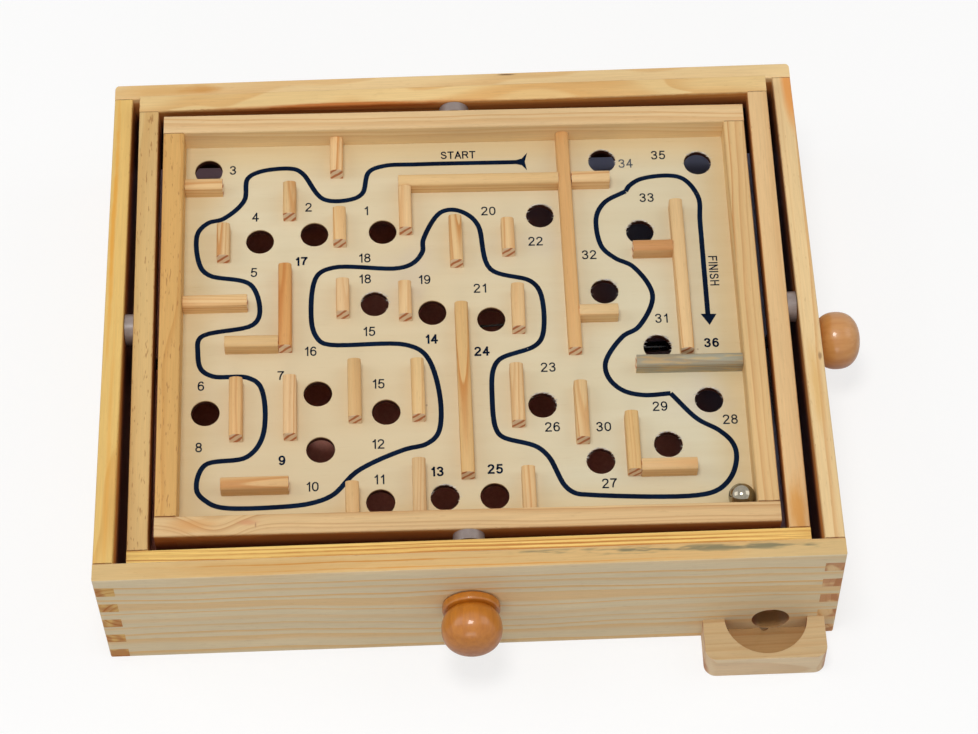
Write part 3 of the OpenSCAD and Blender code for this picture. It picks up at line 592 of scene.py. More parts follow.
def twisted_cord():
    """Dark cord of three twisted strands: a sine of the way round and the way along it, darker in
    the grooves between the strands as painted shade.
    """
    made, along, around = new_finish("twisted_cord", axes=cord_axes)
    wave = ((along * (1 / (CORD_LAY * MM)) + around * 3.0) * (2 * math.pi)).calc("SINE")
    # painted shade: grooves between the strands darker
    color = mix(ramp(wave, -1.0, 0.4), srgb(36, 30, 28), srgb(92, 84, 78))
    return surface(made, color, ramp(wave, -1.0, 1.0, 0.8, 0.65), wave, 0.08, 0.6)


def ink(name, dark, light, wear):
    """Printed ink: slightly uneven, with small pale nicks where the print missed the wood."""
    made, at, _ = new_finish(name, BOARD_TURN)
    worn = noise(at, 420, 9.0, 3.0, 0.65)
    soft = noise(at, 120, 2.0, 2.0, 0.5)
    color = mix(ramp(soft, 0.3, 0.7), dark, light)
    color = mix(ramp(worn, wear, wear + 0.05), color, srgb(150, 142, 124))
    return surface(made, color, ramp(soft, 0.3, 0.7, 0.38, 0.5), worn, 0.03, 0.3,
                   {"Specular IOR Level": 0.05})


# Where the gaps are, whose faces get painted shade: the walls' inner faces, the middle frame's
# rails, the board's outer faces
BY_WALLS = (CASE_IN[0] + 0.1, CASE_IN[1] + 0.1, True, [CASE_IN])
BY_FRAME = (0, 0, False, [FRAME_OUT, FRAME_IN])
BY_BOARD = (BOARD_OUT[0] - 0.1, BOARD_OUT[1] - 0.1, False, [BOARD_OUT])
WALL, FRAME, BOARD = ({"gaps": BY_WALLS}, {"gaps": BY_FRAME, "stands": FRAME_TURN},
                      {"gaps": BY_BOARD, "stands": BOARD_TURN})
WALL_Y = {**WALL, "grain": ALONG_Y, "joint": CASE_IN[1]}
FRAME_Y = {**FRAME, "grain": ALONG_Y, "joint": FRAME_IN[1]}
# inner: painted light that makes the inner faces of the board's side rails paler
BOARD_Y = {**BOARD, "grain": ALONG_Y, "joint": FIELD[1], "inner": FIELD[0]}

# The sawn pieces, in the order of their grains' seeds: node, finish, colours of early and late
# wood, what the pieces of its place share, and what is its own
SAWN = [
    ("front_wall", "front_wall", (225, 206, 170), (232, 180, 104), WALL, dict(
        # top: the front wall's top yellower and darker, partly stain, partly painted shade
        pith=(0, -0.112, -0.09), ring=6, wander=14, contrast=0.85, top=(0.91, 0.77, 0.54), after=[
            patch(-50, -121.2, 85, 0.5, (214, 150, 62), 0.8),
            patch(0, -124.5, 120, 0.5, (226, 164, 76), 0.7),
            patch(-85, -122.5, 62, 6, (208, 158, 80), 0.35),
            blue_stain(-10, 150, -120.5), bore_painted_shade(123, -42.85, 7.65)])),
    ("back_wall", "back_wall", (236, 205, 151), (208, 146, 68), WALL, dict(
        pith=(0, 0.13, -0.07), ring=4, contrast=0.6, after=[
            patch(-130, 122, 26, 6, (220, 170, 98), 0.6),
            patch(-112, 122.2, 12, 3.4, (206, 142, 62), 0.7),
            patch(24, 124.6, 4.5, 0.4, (84, 50, 30), 0.9, 0.5)])),
    ("left_wall", "left_wall", (229, 190, 114), (206, 138, 52), WALL_Y, dict(
        pith=(0, 0.139, -0.02), ring=3.4, contrast=1.0, wander=11, after=[
            patch(50, 148, 90, 1.5, (228, 160, 60), 0.8),
            patch(-70, 145.5, 95, 1.4, (226, 156, 56), 0.35)])),
    ("right_wall", "right_wall", (236, 204, 151), (208, 146, 80), WALL_Y, dict(
        pith=(0, -0.2, -0.02), ring=4, contrast=0.6, flecks=0.2, after=[
            patch(116, -149.2, 26, 3.6, (232, 152, 72), 0.85, 0.3),
            patch(-45, -145.5, 28, 3, (222, 174, 100), 0.6),
            small_knot(-31, -148.5, 8.5, 1.3)])),
    ("frame_front_rail", "frame_front", (252, 214, 126), (180, 98, 22), FRAME, dict(
        pith=(0, -0.16, 0.0), ring=3.4, wander=6, contrast=1.0, after=[
            patch(20, y, 160, wide, (184, 104, 34), 0.75, 0.7)
            for y, wide in ((-108.2, 0.4), (-109.8, 0.6), (-111.7, 0.7), (-113.6, 0.5))])),
    ("frame_back_rail", "frame_back", (236, 202, 142), (212, 148, 70), FRAME, dict(
        pith=(0, 0.117, -0.05), ring=3.4, contrast=0.95, wander=12,
        after=[patch(-45, 106.8, 66, 1.2, (180, 100, 32), 0.95, 0.6)])),
    ("frame_left_rail", "frame_left", (221, 186, 125), (192, 135, 64), FRAME_Y, dict(
        pith=(0, 0.1, -0.07), ring=5, contrast=0.6, flecks=0.65)),
    ("frame_right_rail", "frame_right", (231, 193, 140), (206, 148, 84), FRAME_Y, dict(
        pith=(0, -0.08, -0.09), ring=7, contrast=0.5,
        after=[patch(-100, -133.8, 22, 5, (218, 152, 68), 0.8)])),
    ("board_front_rail", "board_front", (224, 189, 138), (188, 132, 76), BOARD, dict(
        pith=(0, -0.13, -0.02), ring=2.8, wander=5, contrast=0.8, curl=(-0.103, 0.013, 0.0075),
        after=[patch(-112, -97.5, 14, 4, (212, 150, 84), 0.6),
               patch(-89, -96.5, 6, 2, (206, 140, 100)),
               patch(-86, -98, 0.5, 1.6, (150, 92, 62), 0.6)])),
    ("board_back_rail", "board_back", (230, 196, 146), (204, 148, 86), BOARD, dict(
        # inner: painted light that makes the back rail's inner face paler
        pith=(0, 0.06, -0.02), ring=3.2, contrast=0.7, inner=FIELD[1])),
    ("board_left_rail", "board_left", (216, 169, 101), (189, 127, 58), BOARD_Y, dict(
        pith=(0, 0.11, -0.03), ring=3, contrast=0.7, flecks=0.6)),
    ("board_right_rail", "board_right", (222, 186, 131), (193, 128, 66), BOARD_Y, dict(
        pith=(0, -0.15, -0.01), ring=2.8, contrast=0.85)),
    ("catch_tray", "tray", (236, 212, 176), (212, 160, 104), {}, dict(
        # top: painted shade on the tray's top
        pith=(0, -0.11, -0.05), ring=3.4, contrast=0.55, top=(0.72, 0.66, 0.54),
        after=[cup_painted_shade])),
    ("floor_bearers", "bearers", (232, 202, 152), (214, 158, 84), {"grain": ALONG_Y}, {}),
    # dark early and late colours: painted shade on the block seen down the exit hole
    ("guide_block", "guide", (96, 74, 44), (78, 58, 32), {}, dict(
        pith=(0, -0.11, -0.05), ring=3.4)),
]


def dress_pieces():
    """Each CAD node in its finish. Returns the bright steel."""
    for seed, (node, name, early, late, place, own) in enumerate(SAWN, 1):
        dress(node, pine("pine_" + name, float(seed), early, late, **place, **own))
    wire = metal("bright_steel", srgb(196, 198, 204), 0.3)
    floor = hardboard("hardboard", srgb(236, 166, 148), srgb(222, 148, 130),
                      srgb(138, 144, 176))
    for finish, nodes in (
            (birch_ply(), ("maze_panel",)),
            # the base panel near-black navy: painted shade deep in the gaps
            (hardboard("hardboard_in_painted_shade", srgb(44, 40, 58), srgb(26, 24, 40)), ("base_panel",)),
            (floor, ("ball_floor",)),
            (wire, ("base_nails", "side_pivot_pins", "end_pivot_pins")),
            (metal("black_steel", srgb(26, 32, 40), 0.16, 0.0), ("front_rod", "side_rod")),
            (metal("brass", srgb(206, 172, 96), 0.3), ("frame_screw_eyes", "board_screw_eyes")),
            (nylon(), ("side_pivot_discs", "end_pivot_discs", "front_stop_ring",
                       "side_stop_ring"))):
        for node in nodes:
            dress(node, finish)
    return wire


# Strips


def solids(node, stands):
    """Lowest and highest corner of each solid of a CAD node, as it lies level. Points at one
    place share a number, and each triangle hands its lowest number on until none changes."""
    mesh = NODES[node].data
    points = turned([v.co for v in mesh.vertices], stands.transposed())
    _, number = np.unique(np.round(points, 6), axis=0, return_inverse=True)
    corners = np.zeros(len(mesh.loops), int)
    mesh.loops.foreach_get("vertex_index", corners)
    triangles = number.ravel()[corners].reshape(-1, 3)
    label = np.arange(number.max() + 1)
    while True:
        lowest = label[triangles].min(axis=1)
        before = label.copy()
        for k in range(3):
            np.minimum.at(label, triangles[:, k], lowest)
        if (before == label).all():
            break
    owner = label[number.ravel()]
    return [(points[owner == k].min(axis=0), points[owner == k].max(axis=0))
            for k in np.unique(owner)]


EDGE = 0.35 * MM         # rounding at the ends of a strip
CROWN = 1.4 * MM         # rise of its rounded top
CROWN_STEPS = 13


def strip_mesh(low, high, lengthwise, rng):
    """A strip from corner low to corner high. Its cross-section has upright sides and a round
    top, x = half width * sin a, z = side height + crown * cos a, a from -90 to 90 degrees, and is
    drawn in by EDGE at its two ends. Returns points, faces and the points along its grain."""
    size = high - low
    length, width = (size[1], size[0]) if lengthwise else (size[0], size[1])
    angle = np.radians(np.linspace(-90, 90, CROWN_STEPS))
    top = np.stack([width / 2 * np.sin(angle), size[2] - CROWN + CROWN * np.cos(angle)], -1)
    section = np.concatenate([[[-width / 2, 0]], top, [[width / 2, 0]]])
    middle = np.array([0, size[2] / 2])
    inset = (section - middle) * (1 - 2 * EDGE / np.array([width, size[2]])) + middle
    near = (section - middle) * (1 - 0.6 * EDGE / np.array([width, size[2]])) + middle
    inset[[0, -1], 1] = near[[0, -1], 1] = 0
    rings = [(0, inset), (0.3 * EDGE, near), (EDGE, section), (length - EDGE, section),
             (length - 0.3 * EDGE, near), (length, inset)]
    local = np.concatenate([np.column_stack([np.full(len(s), a), s[:, 0], s[:, 1]])
                            for a, s in rings])
    count = len(section)
    faces = [list(f) for f in grid_faces(len(rings), count, close_columns=True)]
    faces = [f[::-1] for f in faces]
    faces += [list(range(count)), list(range((len(rings) - 1) * count, len(rings) * count))[::-1]]
    grain = local + rng.uniform([0, -0.02, -0.02], [0.5, 0.02, 0.02])
    skew = math.radians(rng.uniform(-0.5, 0.5))
    x, y, z = (local[:, k] for k in range(3))
    x = x - length / 2
    x, y = x * math.cos(skew) - y * math.sin(skew), x * math.sin(skew) + y * math.cos(skew)
    center = (low + high) / 2
    if lengthwise:
        x, y = -y, x
    return np.column_stack([center[0] + x, center[1] + y, low[2] + z]), faces, grain


def strip_attribute(tree, label):
    """What each strip carries with it: its grain, its tone or the way its faces look."""
    return result(tree, "ShaderNodeAttribute", output="Vector", attribute_name=label)


def strip_axes(tree, stands, grain):
    """Position along a strip's own grain, and its normal turned the same way."""
    return strip_attribute(tree, "grain"), strip_attribute(tree, "facing")


def strip_tone(at, color):
    """Each strip's own shade over its grain, with tan streaks left in a grey one."""
    tone = strip_attribute(at.tree, "tone")
    red, _, blue = xyz(tone)
    streaks = ramp(noise(at, (70, 520, 520), 6.0, 2.0, 0.6), 0.48, 0.64, 0.0, 0.6)
    grey = streaks * ramp(blue - red, 0.3, 0.5)
    color = mix(grey, tint(1.0, color, tone), tint(1.0, color, (0.8, 0.82, 0.7, 1)))
    ends = ramp(abs(xyz(strip_attribute(at.tree, "facing"))[0]), 0.6, 0.95)
    _, y, z = xyz(at)
    bend = noise(at, 200, 4.0, 1.0, 0.5) * 3.5
    wave = (bend + y * 1500.0 + z * 1300.0).calc("SINE")
    return mix(ends, color, mix(ramp(wave, 0.0, 0.7), srgb(232, 206, 174), srgb(190, 116, 72)))


STRIP_FINISH = pine("pine_strips", 20.0, (228, 192, 140), (200, 136, 72), pith=(0, 0, -0.03),
                    ring=1.5, wander=4, contrast=0.95, flecks=0.12, end=(255, 255, 255),
                    after=[strip_tone], axes=strip_axes)

# Shades of strips that differ from the rest, by the nearest level place of their middle, in mm
PLAIN, PALE = (1.0, 1.0, 1.0), (1.06, 1.06, 1.04)
ORANGE, GREY, TAN = (0.84, 0.64, 0.42), (0.5, 0.72, 1.1), (0.98, 0.9, 0.8)
SHADES = {(-74.5, 9): ORANGE, (47.5, 38): TAN, (95, -22.8): GREY, (85, 33.8): (0.94, 0.84, 0.74),
          (-110, 11.5): PALE, (10, 69.8): PALE, (-52, 84): PALE, (-87, -75.5): TAN,
          (0.5, -33): (0.99, 0.94, 0.84), (82.5, -71.6): (1.02, 1.04, 1.02),
          (-95, -40): (1.0, 0.92, 0.78), (69.5, -60): (0.97, 0.92, 0.84), (-104, 11.5): PALE,
          (-87, -8.8): (1.02, 1.0, 0.94), (11, 69.8): PALE, (-110, 70.2): PALE}
SAME_PLACE = 6           # how far off, in mm, a strip may lie and still be the one meant


def make_strips(name, node, lengthwise, seed):
    """All strips that run one way, as one piece with a shade and a grain of their own each."""
    rng = np.random.default_rng(seed)
    parts, grains, tones = [], [], []
    for low, high in solids(node, BOARD_TURN):
        made, sides, grain = strip_mesh(low, high, lengthwise, rng)
        middle = (low + high)[:2] / 2 / MM
        near = min(SHADES, key=lambda spot: np.hypot(*(middle - spot)))
        tone = np.array(SHADES[near] if np.hypot(*(middle - near)) < SAME_PLACE else PLAIN)
        tone = tone * rng.uniform(0.93, 1.03) * np.array([1.0, rng.uniform(0.97, 1.01),
                                                          rng.uniform(0.93, 1.03)])
        parts.append((made, sides))
        grains.append(grain)
        tones.append(np.broadcast_to(tone, made.shape))
    points, faces = joined(parts)
    piece = new_piece(name, turned(points, BOARD_TURN), faces, STRIP_FINISH, 32.0)
    mesh = piece.data
    normals = np.zeros(len(mesh.polygons) * 3)
    mesh.polygons.foreach_get("normal", normals)
    facing = normals.reshape(-1, 3) @ np.array(BOARD_TURN)
    if lengthwise:
        facing = facing[:, [1, 0, 2]]
    for label, values, where in (("grain", np.concatenate(grains), "POINT"),
                                 ("tone", np.concatenate(tones), "POINT"),
                                 ("facing", facing, "FACE")):
        mesh.attributes.new(label, "FLOAT_VECTOR", where).data.foreach_set(
            "vector", values.astype(np.float32).ravel())
    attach(piece, "maze_board")
    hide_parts(node)


# The printed line and its numbers

# Points of the line in mm on the level board. It is smooth between them, and has a corner
# where one list ends and the next begins.
LINE = [
    [(26.5, 82), (-17, 82), (-31.5, 81.5), (-38, 78.5), (-41, 67.5), (-46, 64.5), (-58, 65),
     (-67, 78.5), (-71, 81), (-85.5, 80), (-91, 76.5), (-92.5, 65), (-101.5, 56), (-108, 54),
     (-112.5, 48.5), (-111, 32), (-107, 27.5), (-89.5, 22.5), (-85.5, 8), (-88.5, 2.5),
     (-110.5, -3), (-111.5, -10.5), (-110, -18.5), (-105, -22), (-90.5, -23), (-85, -27.5),
     (-84, -51), (-90.5, -60.5), (-108, -64), (-111, -75.5), (-106.5, -81), (-101, -83.5),
     (-77.5, -84), (-63.5, -82.5), (-55, -79), (-45, -68.5), (-25.5, -59), (-16, -56.5),
     (-11, -51.5), (-10, -33), (-15.5, -14), (-23.5, -9), (-58, -7.5), (-61.5, -4), (-63.5, 4),
     (-61, 26), (-54, 30), (-26, 29), (-19.5, 31.5), (-15.5, 37), (-15, 43), (-7.5, 56.5),
     (-1.5, 58), (5, 55), (9, 49.5), (13.5, 27.5), (30.5, 21), (34.5, 15), (34.5, -6), (31, -11),
     (16, -17), (13, -22), (12, -35), (13, -50), (15.5, -54), (29.5, -59), (34.5, -64),
     (40.5, -77.5), (44.5, -81), (50, -82), (95, -83.5), (104, -81), (110, -74.5), (112.5, -65),
     (111, -59), (106, -53.5), (97.5, -48), (87, -35.5)],
    [(87, -35.5), (75.5, -36), (67, -33.5), (61.5, -27.5), (60.5, -20), (68.5, -7.5), (75.5, -3),
     (82.5, 12.5), (75, 27), (67.5, 31.5), (62, 37.5), (60.5, 52.5), (64.5, 60), (74, 65.5)],
    [(74, 65.5), (76, 68.5), (82, 72), (98.5, 72), (105.5, 62), (105.5, 49), (105.5, 2)],
]
LINE_W = 2.15
INK_PROUD = INK_SUNK = 0.05
ARROW = [(105.9, -2.9), (102.4, 2.7), (109.2, 2.5)]
TAIL = [(26.2, 82.9), (26.2, 81.1), (29.2, 80.3), (31.4, 77.6), (30.6, 82.1), (31.8, 86.8),
        (29.3, 83.8)]


def smooth_line(points, steps=9):
    """A curve through points: between two of them blends of blends of the four nearest points,
    at knots spaced by the root of their distances."""
    p = np.asarray(points, float)
    p = np.concatenate([2 * p[:1] - p[1:2], p, 2 * p[-1:] - p[-2:-1]])
    a, b, c, d = (p[k:len(p) - 3 + k, None] for k in range(4))
    gap = [np.sqrt(np.linalg.norm(v - u, axis=-1, keepdims=True))
           for u, v in ((a, b), (b, c), (c, d))]
    t1, t2, t3 = gap[0], gap[0] + gap[1], gap[0] + gap[1] + gap[2]
    t = t1 + gap[1] * np.linspace(0, 1, steps, endpoint=False)[None, :, None]
    a1 = ((t1 - t) * a + t * b) / t1
    a2 = ((t2 - t) * b + (t - t1) * c) / (t2 - t1)
    a3 = ((t3 - t) * c + (t - t2) * d) / (t3 - t2)
    b1 = ((t2 - t) * a1 + t * a2) / t2
    b2 = ((t3 - t) * a2 + (t - t1) * a3) / (t3 - t1)
    curve = ((t2 - t) * b1 + (t - t1) * b2) / (t2 - t1)
    return np.concatenate([curve.reshape(-1, 2), p[-2:-1]])


def plate(outline):
    """Points and faces of a thin closed plate of ink with a flat outline, in mm."""
    outline = np.asarray(outline, float)
    count = len(outline)
    floor, top = (np.column_stack([outline, np.full(count, z)]) for z in (-INK_SUNK, INK_PROUD))
    faces = [list(range(count))[::-1], list(range(count, 2 * count))]
    faces += [[k, (k + 1) % count, count + (k + 1) % count, count + k] for k in range(count)]
    return np.concatenate([floor, top]), faces


def ribbon(line, width):
    """Points and faces of a ribbon of ink: the line set off to both sides along its normal, just
    under the top of the panel and just above it."""
    along = np.gradient(line, axis=0)
    along /= np.linalg.norm(along, axis=1, keepdims=True)
    side = np.column_stack([-along[:, 1], along[:, 0]]) * width / 2
    corners = [(line - side, -INK_SUNK), (line + side, -INK_SUNK), (line + side, INK_PROUD),
               (line - side, INK_PROUD)]
    rings = np.stack([np.column_stack([p, np.full(len(p), z)]) for p, z in corners], axis=1)
    faces = [list(f) for f in grid_faces(len(line), 4, close_columns=True)]
    last = 4 * (len(line) - 1)
    faces += [[0, 1, 2, 3], [last + 3, last + 2, last + 1, last]]
    return rings.reshape(-1, 3), faces


def on_panel(parts, name, material):
    """One printed piece from parts given in mm on the level panel."""
    points, faces = joined(parts)
    placed = points * MM + [0, 0, PANEL_TOP]
    piece = new_piece(name, turned(placed, BOARD_TURN), faces, material, smooth=False)
    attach(piece, "maze_board")


# Holes whose rims the drill left torn, in mm on the level board
TORN = [(106.5, 79.5), (79, 44.5), (36, 54), (62, 15), (83, -13), (103, -39), (33, -39.5),
        (56, -66.5), (84.5, -59.5), (-36.5, 11.5), (-9, -81.5), (64.5, 81.5)]
HOLE_R = 6.0
FIBRES, FIBRE_SUNK, FIBRE_BEND = 70, 0.02, 0.35


def torn_rims():
    """Short pale fibres along X round the rims of some holes, mostly at the back of each: flat
    spikes with three corners below and one above."""
    rng = np.random.default_rng(3)
    spots = np.repeat(np.array(TORN, float), FIBRES, axis=0)
    angle = np.radians(rng.normal(78, 50, len(spots)))
    rim = spots + HOLE_R * np.column_stack([np.cos(angle), np.sin(angle)])
    long = rng.uniform(0.4, 1.5, len(spots)) * rng.choice([-1, 1], len(spots))
    wide = rng.uniform(0.08, 0.2, len(spots))
    lift = rng.uniform(0.04, 0.22, len(spots))
    lean = rng.normal(0, 0.12, len(spots)) * long
    under = np.full(len(spots), -FIBRE_SUNK)
    foot = rim + rng.normal(0, 0.1, rim.shape)
    points = np.stack([
        np.column_stack([foot - [0, 1] * wide[:, None], under]),
        np.column_stack([foot + [0, 1] * wide[:, None], under]),
        np.column_stack([foot + np.column_stack([long, lean]), under + FIBRE_SUNK]),
        np.column_stack([foot + np.column_stack([long, lean]) * FIBRE_BEND, lift])], axis=1)
    base = 4 * np.arange(len(spots))[:, None]
    faces = np.concatenate([base + f for f in ([0, 1, 2], [0, 3, 1], [1, 3, 2], [2, 3, 0])])
    made, at, _ = new_finish("torn_fibres", BOARD_TURN)
    tone = noise(at, 300, 2.0, 2.0, 0.5)
    surface(made, mix(ramp(tone, 0.35, 0.65), srgb(230, 224, 212), srgb(190, 186, 182)),
            ramp(tone, 0.3, 0.7, 0.7, 0.9))
    on_panel([(points.reshape(-1, 3), faces.tolist())], "torn_fibres", made)


# The holes' numbers, each with the middle of its place in mm, b marking the heavier ones
NUMBERS = [
    ("3", -97.5, 81), ("4", -87.5, 56.5), ("2", -64.5, 61), ("1", -39.5, 58.5),
    ("17b", -67.5, 33.5), ("18", -40.5, 34.5), ("18", -40.5, 24), ("5", -88, 28.5),
    ("19", -15, 23), ("15", -39, -2), ("14b", -12.5, -6.5), ("16", -64, -11), ("20", 13.5, 57),
    ("21", 8.5, 18), ("24b", 8.5, -13), ("7", -76.5, -22.5), ("15", -35.5, -27.5),
    ("6", -110, -26.5), ("8", -110.5, -55.5), ("9b", -76, -62.5), ("10", -63.5, -75),
    ("11", -36, -72.5), ("12", -36, -56), ("13b", -12, -69.5), ("25b", 12, -69), ("34", 75, 80),
    ("35", 89.5, 84), ("33", 83, 62), ("22", 33.5, 41), ("32", 56.5, 33.5), ("31", 85.5, 1),
    ("36b", 106, -11.5), ("23", 36, -21.5), ("26", 36.5, -50), ("30", 58, -50.5),
    ("29", 82, -41.5), ("28", 111, -48.5), ("27", 59, -77),
]
# Each sign as strokes in a box 1 high: two points are a straight stroke, more a curve
SIGNS = {
    "0": [[(0.25, 1), (0.05, 0.85), (0, 0.5), (0.05, 0.15), (0.25, 0), (0.45, 0.15), (0.5, 0.5),
           (0.45, 0.85), (0.25, 1)]],
    "1": [[(0.04, 0.74), (0.2, 0.85), (0.3, 1)], [(0.3, 1), (0.3, 0)]],
    "2": [[(0, 0.73), (0.06, 0.92), (0.25, 1), (0.44, 0.92), (0.49, 0.73), (0.41, 0.53),
           (0.17, 0.27), (0, 0)], [(0, 0), (0.5, 0)]],
    "3": [[(0, 0.77), (0.08, 0.94), (0.25, 1), (0.42, 0.93), (0.47, 0.76), (0.39, 0.6),
           (0.19, 0.54)],
          [(0.19, 0.54), (0.41, 0.47), (0.5, 0.27), (0.42, 0.07), (0.24, 0), (0.07, 0.06),
           (0, 0.25)]],
    "4": [[(0.37, 0), (0.37, 1)], [(0.37, 1), (0, 0.3)], [(0, 0.3), (0.52, 0.3)]],
    "5": [[(0.46, 1), (0.1, 1)], [(0.1, 1), (0.03, 0.5)],
          [(0.03, 0.5), (0.13, 0.6), (0.26, 0.63), (0.44, 0.55), (0.5, 0.32), (0.42, 0.08),
           (0.24, 0), (0.07, 0.06), (0, 0.24)]],
    "6": [[(0.47, 0.8), (0.41, 0.95), (0.27, 1), (0.1, 0.9), (0.01, 0.6), (0.01, 0.33),
           (0.09, 0.08),
           (0.26, 0), (0.43, 0.08), (0.5, 0.31), (0.42, 0.54), (0.26, 0.62), (0.09, 0.54),
           (0.01, 0.36)]],
    "7": [[(0, 1), (0.5, 1)], [(0.5, 1), (0.32, 0.72), (0.2, 0.38), (0.15, 0)]],
    "8": [[(0.25, 0.54), (0.08, 0.62), (0.03, 0.77), (0.1, 0.94), (0.25, 1), (0.4, 0.94),
           (0.47, 0.77), (0.42, 0.62), (0.25, 0.54)],
          [(0.25, 0.54), (0.07, 0.45), (0, 0.27), (0.07, 0.07), (0.25, 0), (0.43, 0.07),
           (0.5, 0.27),
           (0.43, 0.45), (0.25, 0.54)]],
    "9": [[(0.03, 0.2), (0.09, 0.05), (0.23, 0), (0.4, 0.1), (0.49, 0.4), (0.49, 0.67),
           (0.41, 0.92),
           (0.24, 1), (0.07, 0.92), (0, 0.69), (0.08, 0.46), (0.24, 0.38), (0.41, 0.46),
           (0.49, 0.64)]],
    "S": [[(0.53, 0.75), (0.45, 0.93), (0.28, 1), (0.1, 0.94), (0.03, 0.78), (0.1, 0.62),
           (0.3, 0.52),
           (0.5, 0.42), (0.57, 0.25), (0.48, 0.07), (0.29, 0), (0.09, 0.06), (0, 0.25)]],
    "T": [[(0, 1), (0.58, 1)], [(0.29, 1), (0.29, 0)]],
    "A": [[(0, 0), (0.32, 1)], [(0.32, 1), (0.64, 0)], [(0.12, 0.33), (0.52, 0.33)]],
    "R": [[(0, 0), (0, 1)], [(0, 1), (0.34, 1)],
          [(0.34, 1), (0.51, 0.94), (0.56, 0.76), (0.51, 0.58), (0.34, 0.52)],
          [(0.34, 0.52), (0, 0.52)], [(0.3, 0.5), (0.42, 0.4), (0.6, 0)]],
    "F": [[(0, 0), (0, 1)], [(0, 1), (0.5, 1)], [(0, 0.53), (0.43, 0.53)]],
    "I": [[(0, 0), (0, 1)]],
    "N": [[(0, 0), (0, 1)], [(0, 1), (0.54, 0)], [(0.54, 0), (0.54, 1)]],
    "H": [[(0, 0), (0, 1)], [(0.54, 0), (0.54, 1)], [(0, 0.53), (0.54, 0.53)]],
}
DIGIT_H, WORD_H = 4.5, 3.9
SIGN_WIDE = 1.12         # stretch of the signs across
BOLD, FINE, SLIM = 0.84, 0.62, 0.56     # widths of their strokes
FADED = "34"


def lettering(text, height, spacing, stroke, turn, x, y):
    """Parts of a text in mm, strokes drawn as ribbons: signs of a height, centred on a place
    and turned. A straight stroke reaches half its width past both of its ends."""
    sine, cosine = math.sin(math.radians(turn)), math.cos(math.radians(turn))
    spin = np.array([[cosine, sine], [-sine, cosine]])
    tall = height - stroke
    strokes, place = [], 0.0
    for sign in text:
        for points in SIGNS[sign]:
            points = np.array(points, float) * [tall * SIGN_WIDE, tall] + [place, 0]
            if len(points) == 2:
                way = points[1] - points[0]
                reach = unit(way) * stroke / 2
                run = points[0] - reach + steps(0, 1, 3) * (way + 2 * reach)
            else:
                run = smooth_line(points, 4)
            strokes.append(run)
        widest = max(across for points in SIGNS[sign] for across, _ in points)
        place += (widest * SIGN_WIDE + spacing) * tall + stroke
    wide = max(run[:, 0].max() for run in strokes) + min(run[:, 0].min() for run in strokes)
    return [ribbon((run - [wide / 2, tall / 2]) @ spin + [x, y], stroke) for run in strokes]


def print_panel():
    """The line with its arrow, the numbers and the two words."""
    finish = ink("ink", srgb(0, 14, 38), srgb(2, 24, 50), 0.71)
    grey = ink("worn_ink", srgb(12, 24, 40), srgb(28, 38, 52), 0.71)
    pale = ink("faded_ink", srgb(78, 84, 92), srgb(104, 106, 108), 0.6)
    parts = [ribbon(smooth_line(run), LINE_W) for run in LINE] + [plate(ARROW[::-1]), plate(TAIL)]
    on_panel(parts, "printed_line", finish)
    for name, material, stroke, chosen in (
            ("bold_numbers", finish, BOLD, lambda t: t.endswith("b")),
            ("printed_numbers", grey, FINE, lambda t: not t.endswith("b") and t != FADED),
            ("faded_number", pale, FINE, lambda t: t == FADED)):
        parts = [part for t, x, y in NUMBERS if chosen(t)
                 for part in lettering(t.strip("b"), DIGIT_H, 0.17, stroke, 0, x, y)]
        on_panel(parts, name, material)
    words = (lettering("START", WORD_H, 0.1, FINE, 0, 1.5, 86.4)
             + lettering("FINISH", WORD_H, 0.2, SLIM, -90, 109.6, 24))
    on_panel(words, "printed_words", finish)


# Shaped copies of the CAD pieces


def soften(node, body, width=0.25 * MM):
    """A copy of a sawn piece with its edges broken by width. The copy's faces are joined first,
    so that the bevel finds whole edges."""
    source = NODES[node]
    mesh = source.data.copy()
    mesh.name = node + "_eased"
    shape = bmesh.new()
    shape.from_mesh(mesh)
    bmesh.ops.remove_doubles(shape, verts=shape.verts, dist=1e-6)
    bmesh.ops.dissolve_limit(shape, angle_limit=math.radians(0.5), verts=shape.verts,
                             edges=shape.edges)
    shape.to_mesh(mesh)
    shape.free()
    mesh.polygons.foreach_set("use_smooth", np.full(len(mesh.polygons), True))
    mesh.set_sharp_from_angle(angle=math.radians(30))
    piece = bpy.data.objects.new(node + "_eased", mesh)
    bpy.context.scene.collection.objects.link(piece)
    mesh.materials.clear()
    mesh.materials.append(source.material_slots[0].material)
    ease = piece.modifiers.new("broken edges", "BEVEL")
    ease.width = width
    ease.segments = 2
    ease.limit_method = "ANGLE"
    ease.angle_limit = math.radians(40)
    ease.use_clamp_overlap = True
    ease.harden_normals = True
    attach(piece, body)
    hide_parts(node)


def stand_in(name, node, body, points, faces, material, sharp=35.0):
    """A finer form in place of one CAD node."""
    piece = new_piece(name, points, faces, material, sharp)
    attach(piece, body)
    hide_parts(node)


# Knobs: a collar with rounded rims, a groove and a head whose outline is a circle swelled
# towards a square by KNOB_POWER
KNOB_R, KNOB_L, KNOB_REACH, KNOB_POWER = 12.4, 20.4, 11.5, 2.3
COLLAR_R, COLLAR_T, COLLAR_RIM, COLLAR_GAP, GROOVE = 11.8, 3.6, 0.9, 0.3, 0.5
NECK_FROM = -40          # where the head starts at the neck, in degrees round its outline
KNOB_SIDES, KNOB_STEPS, BALL_SIDES, BALL_STEPS = 112, 44, 96, 49


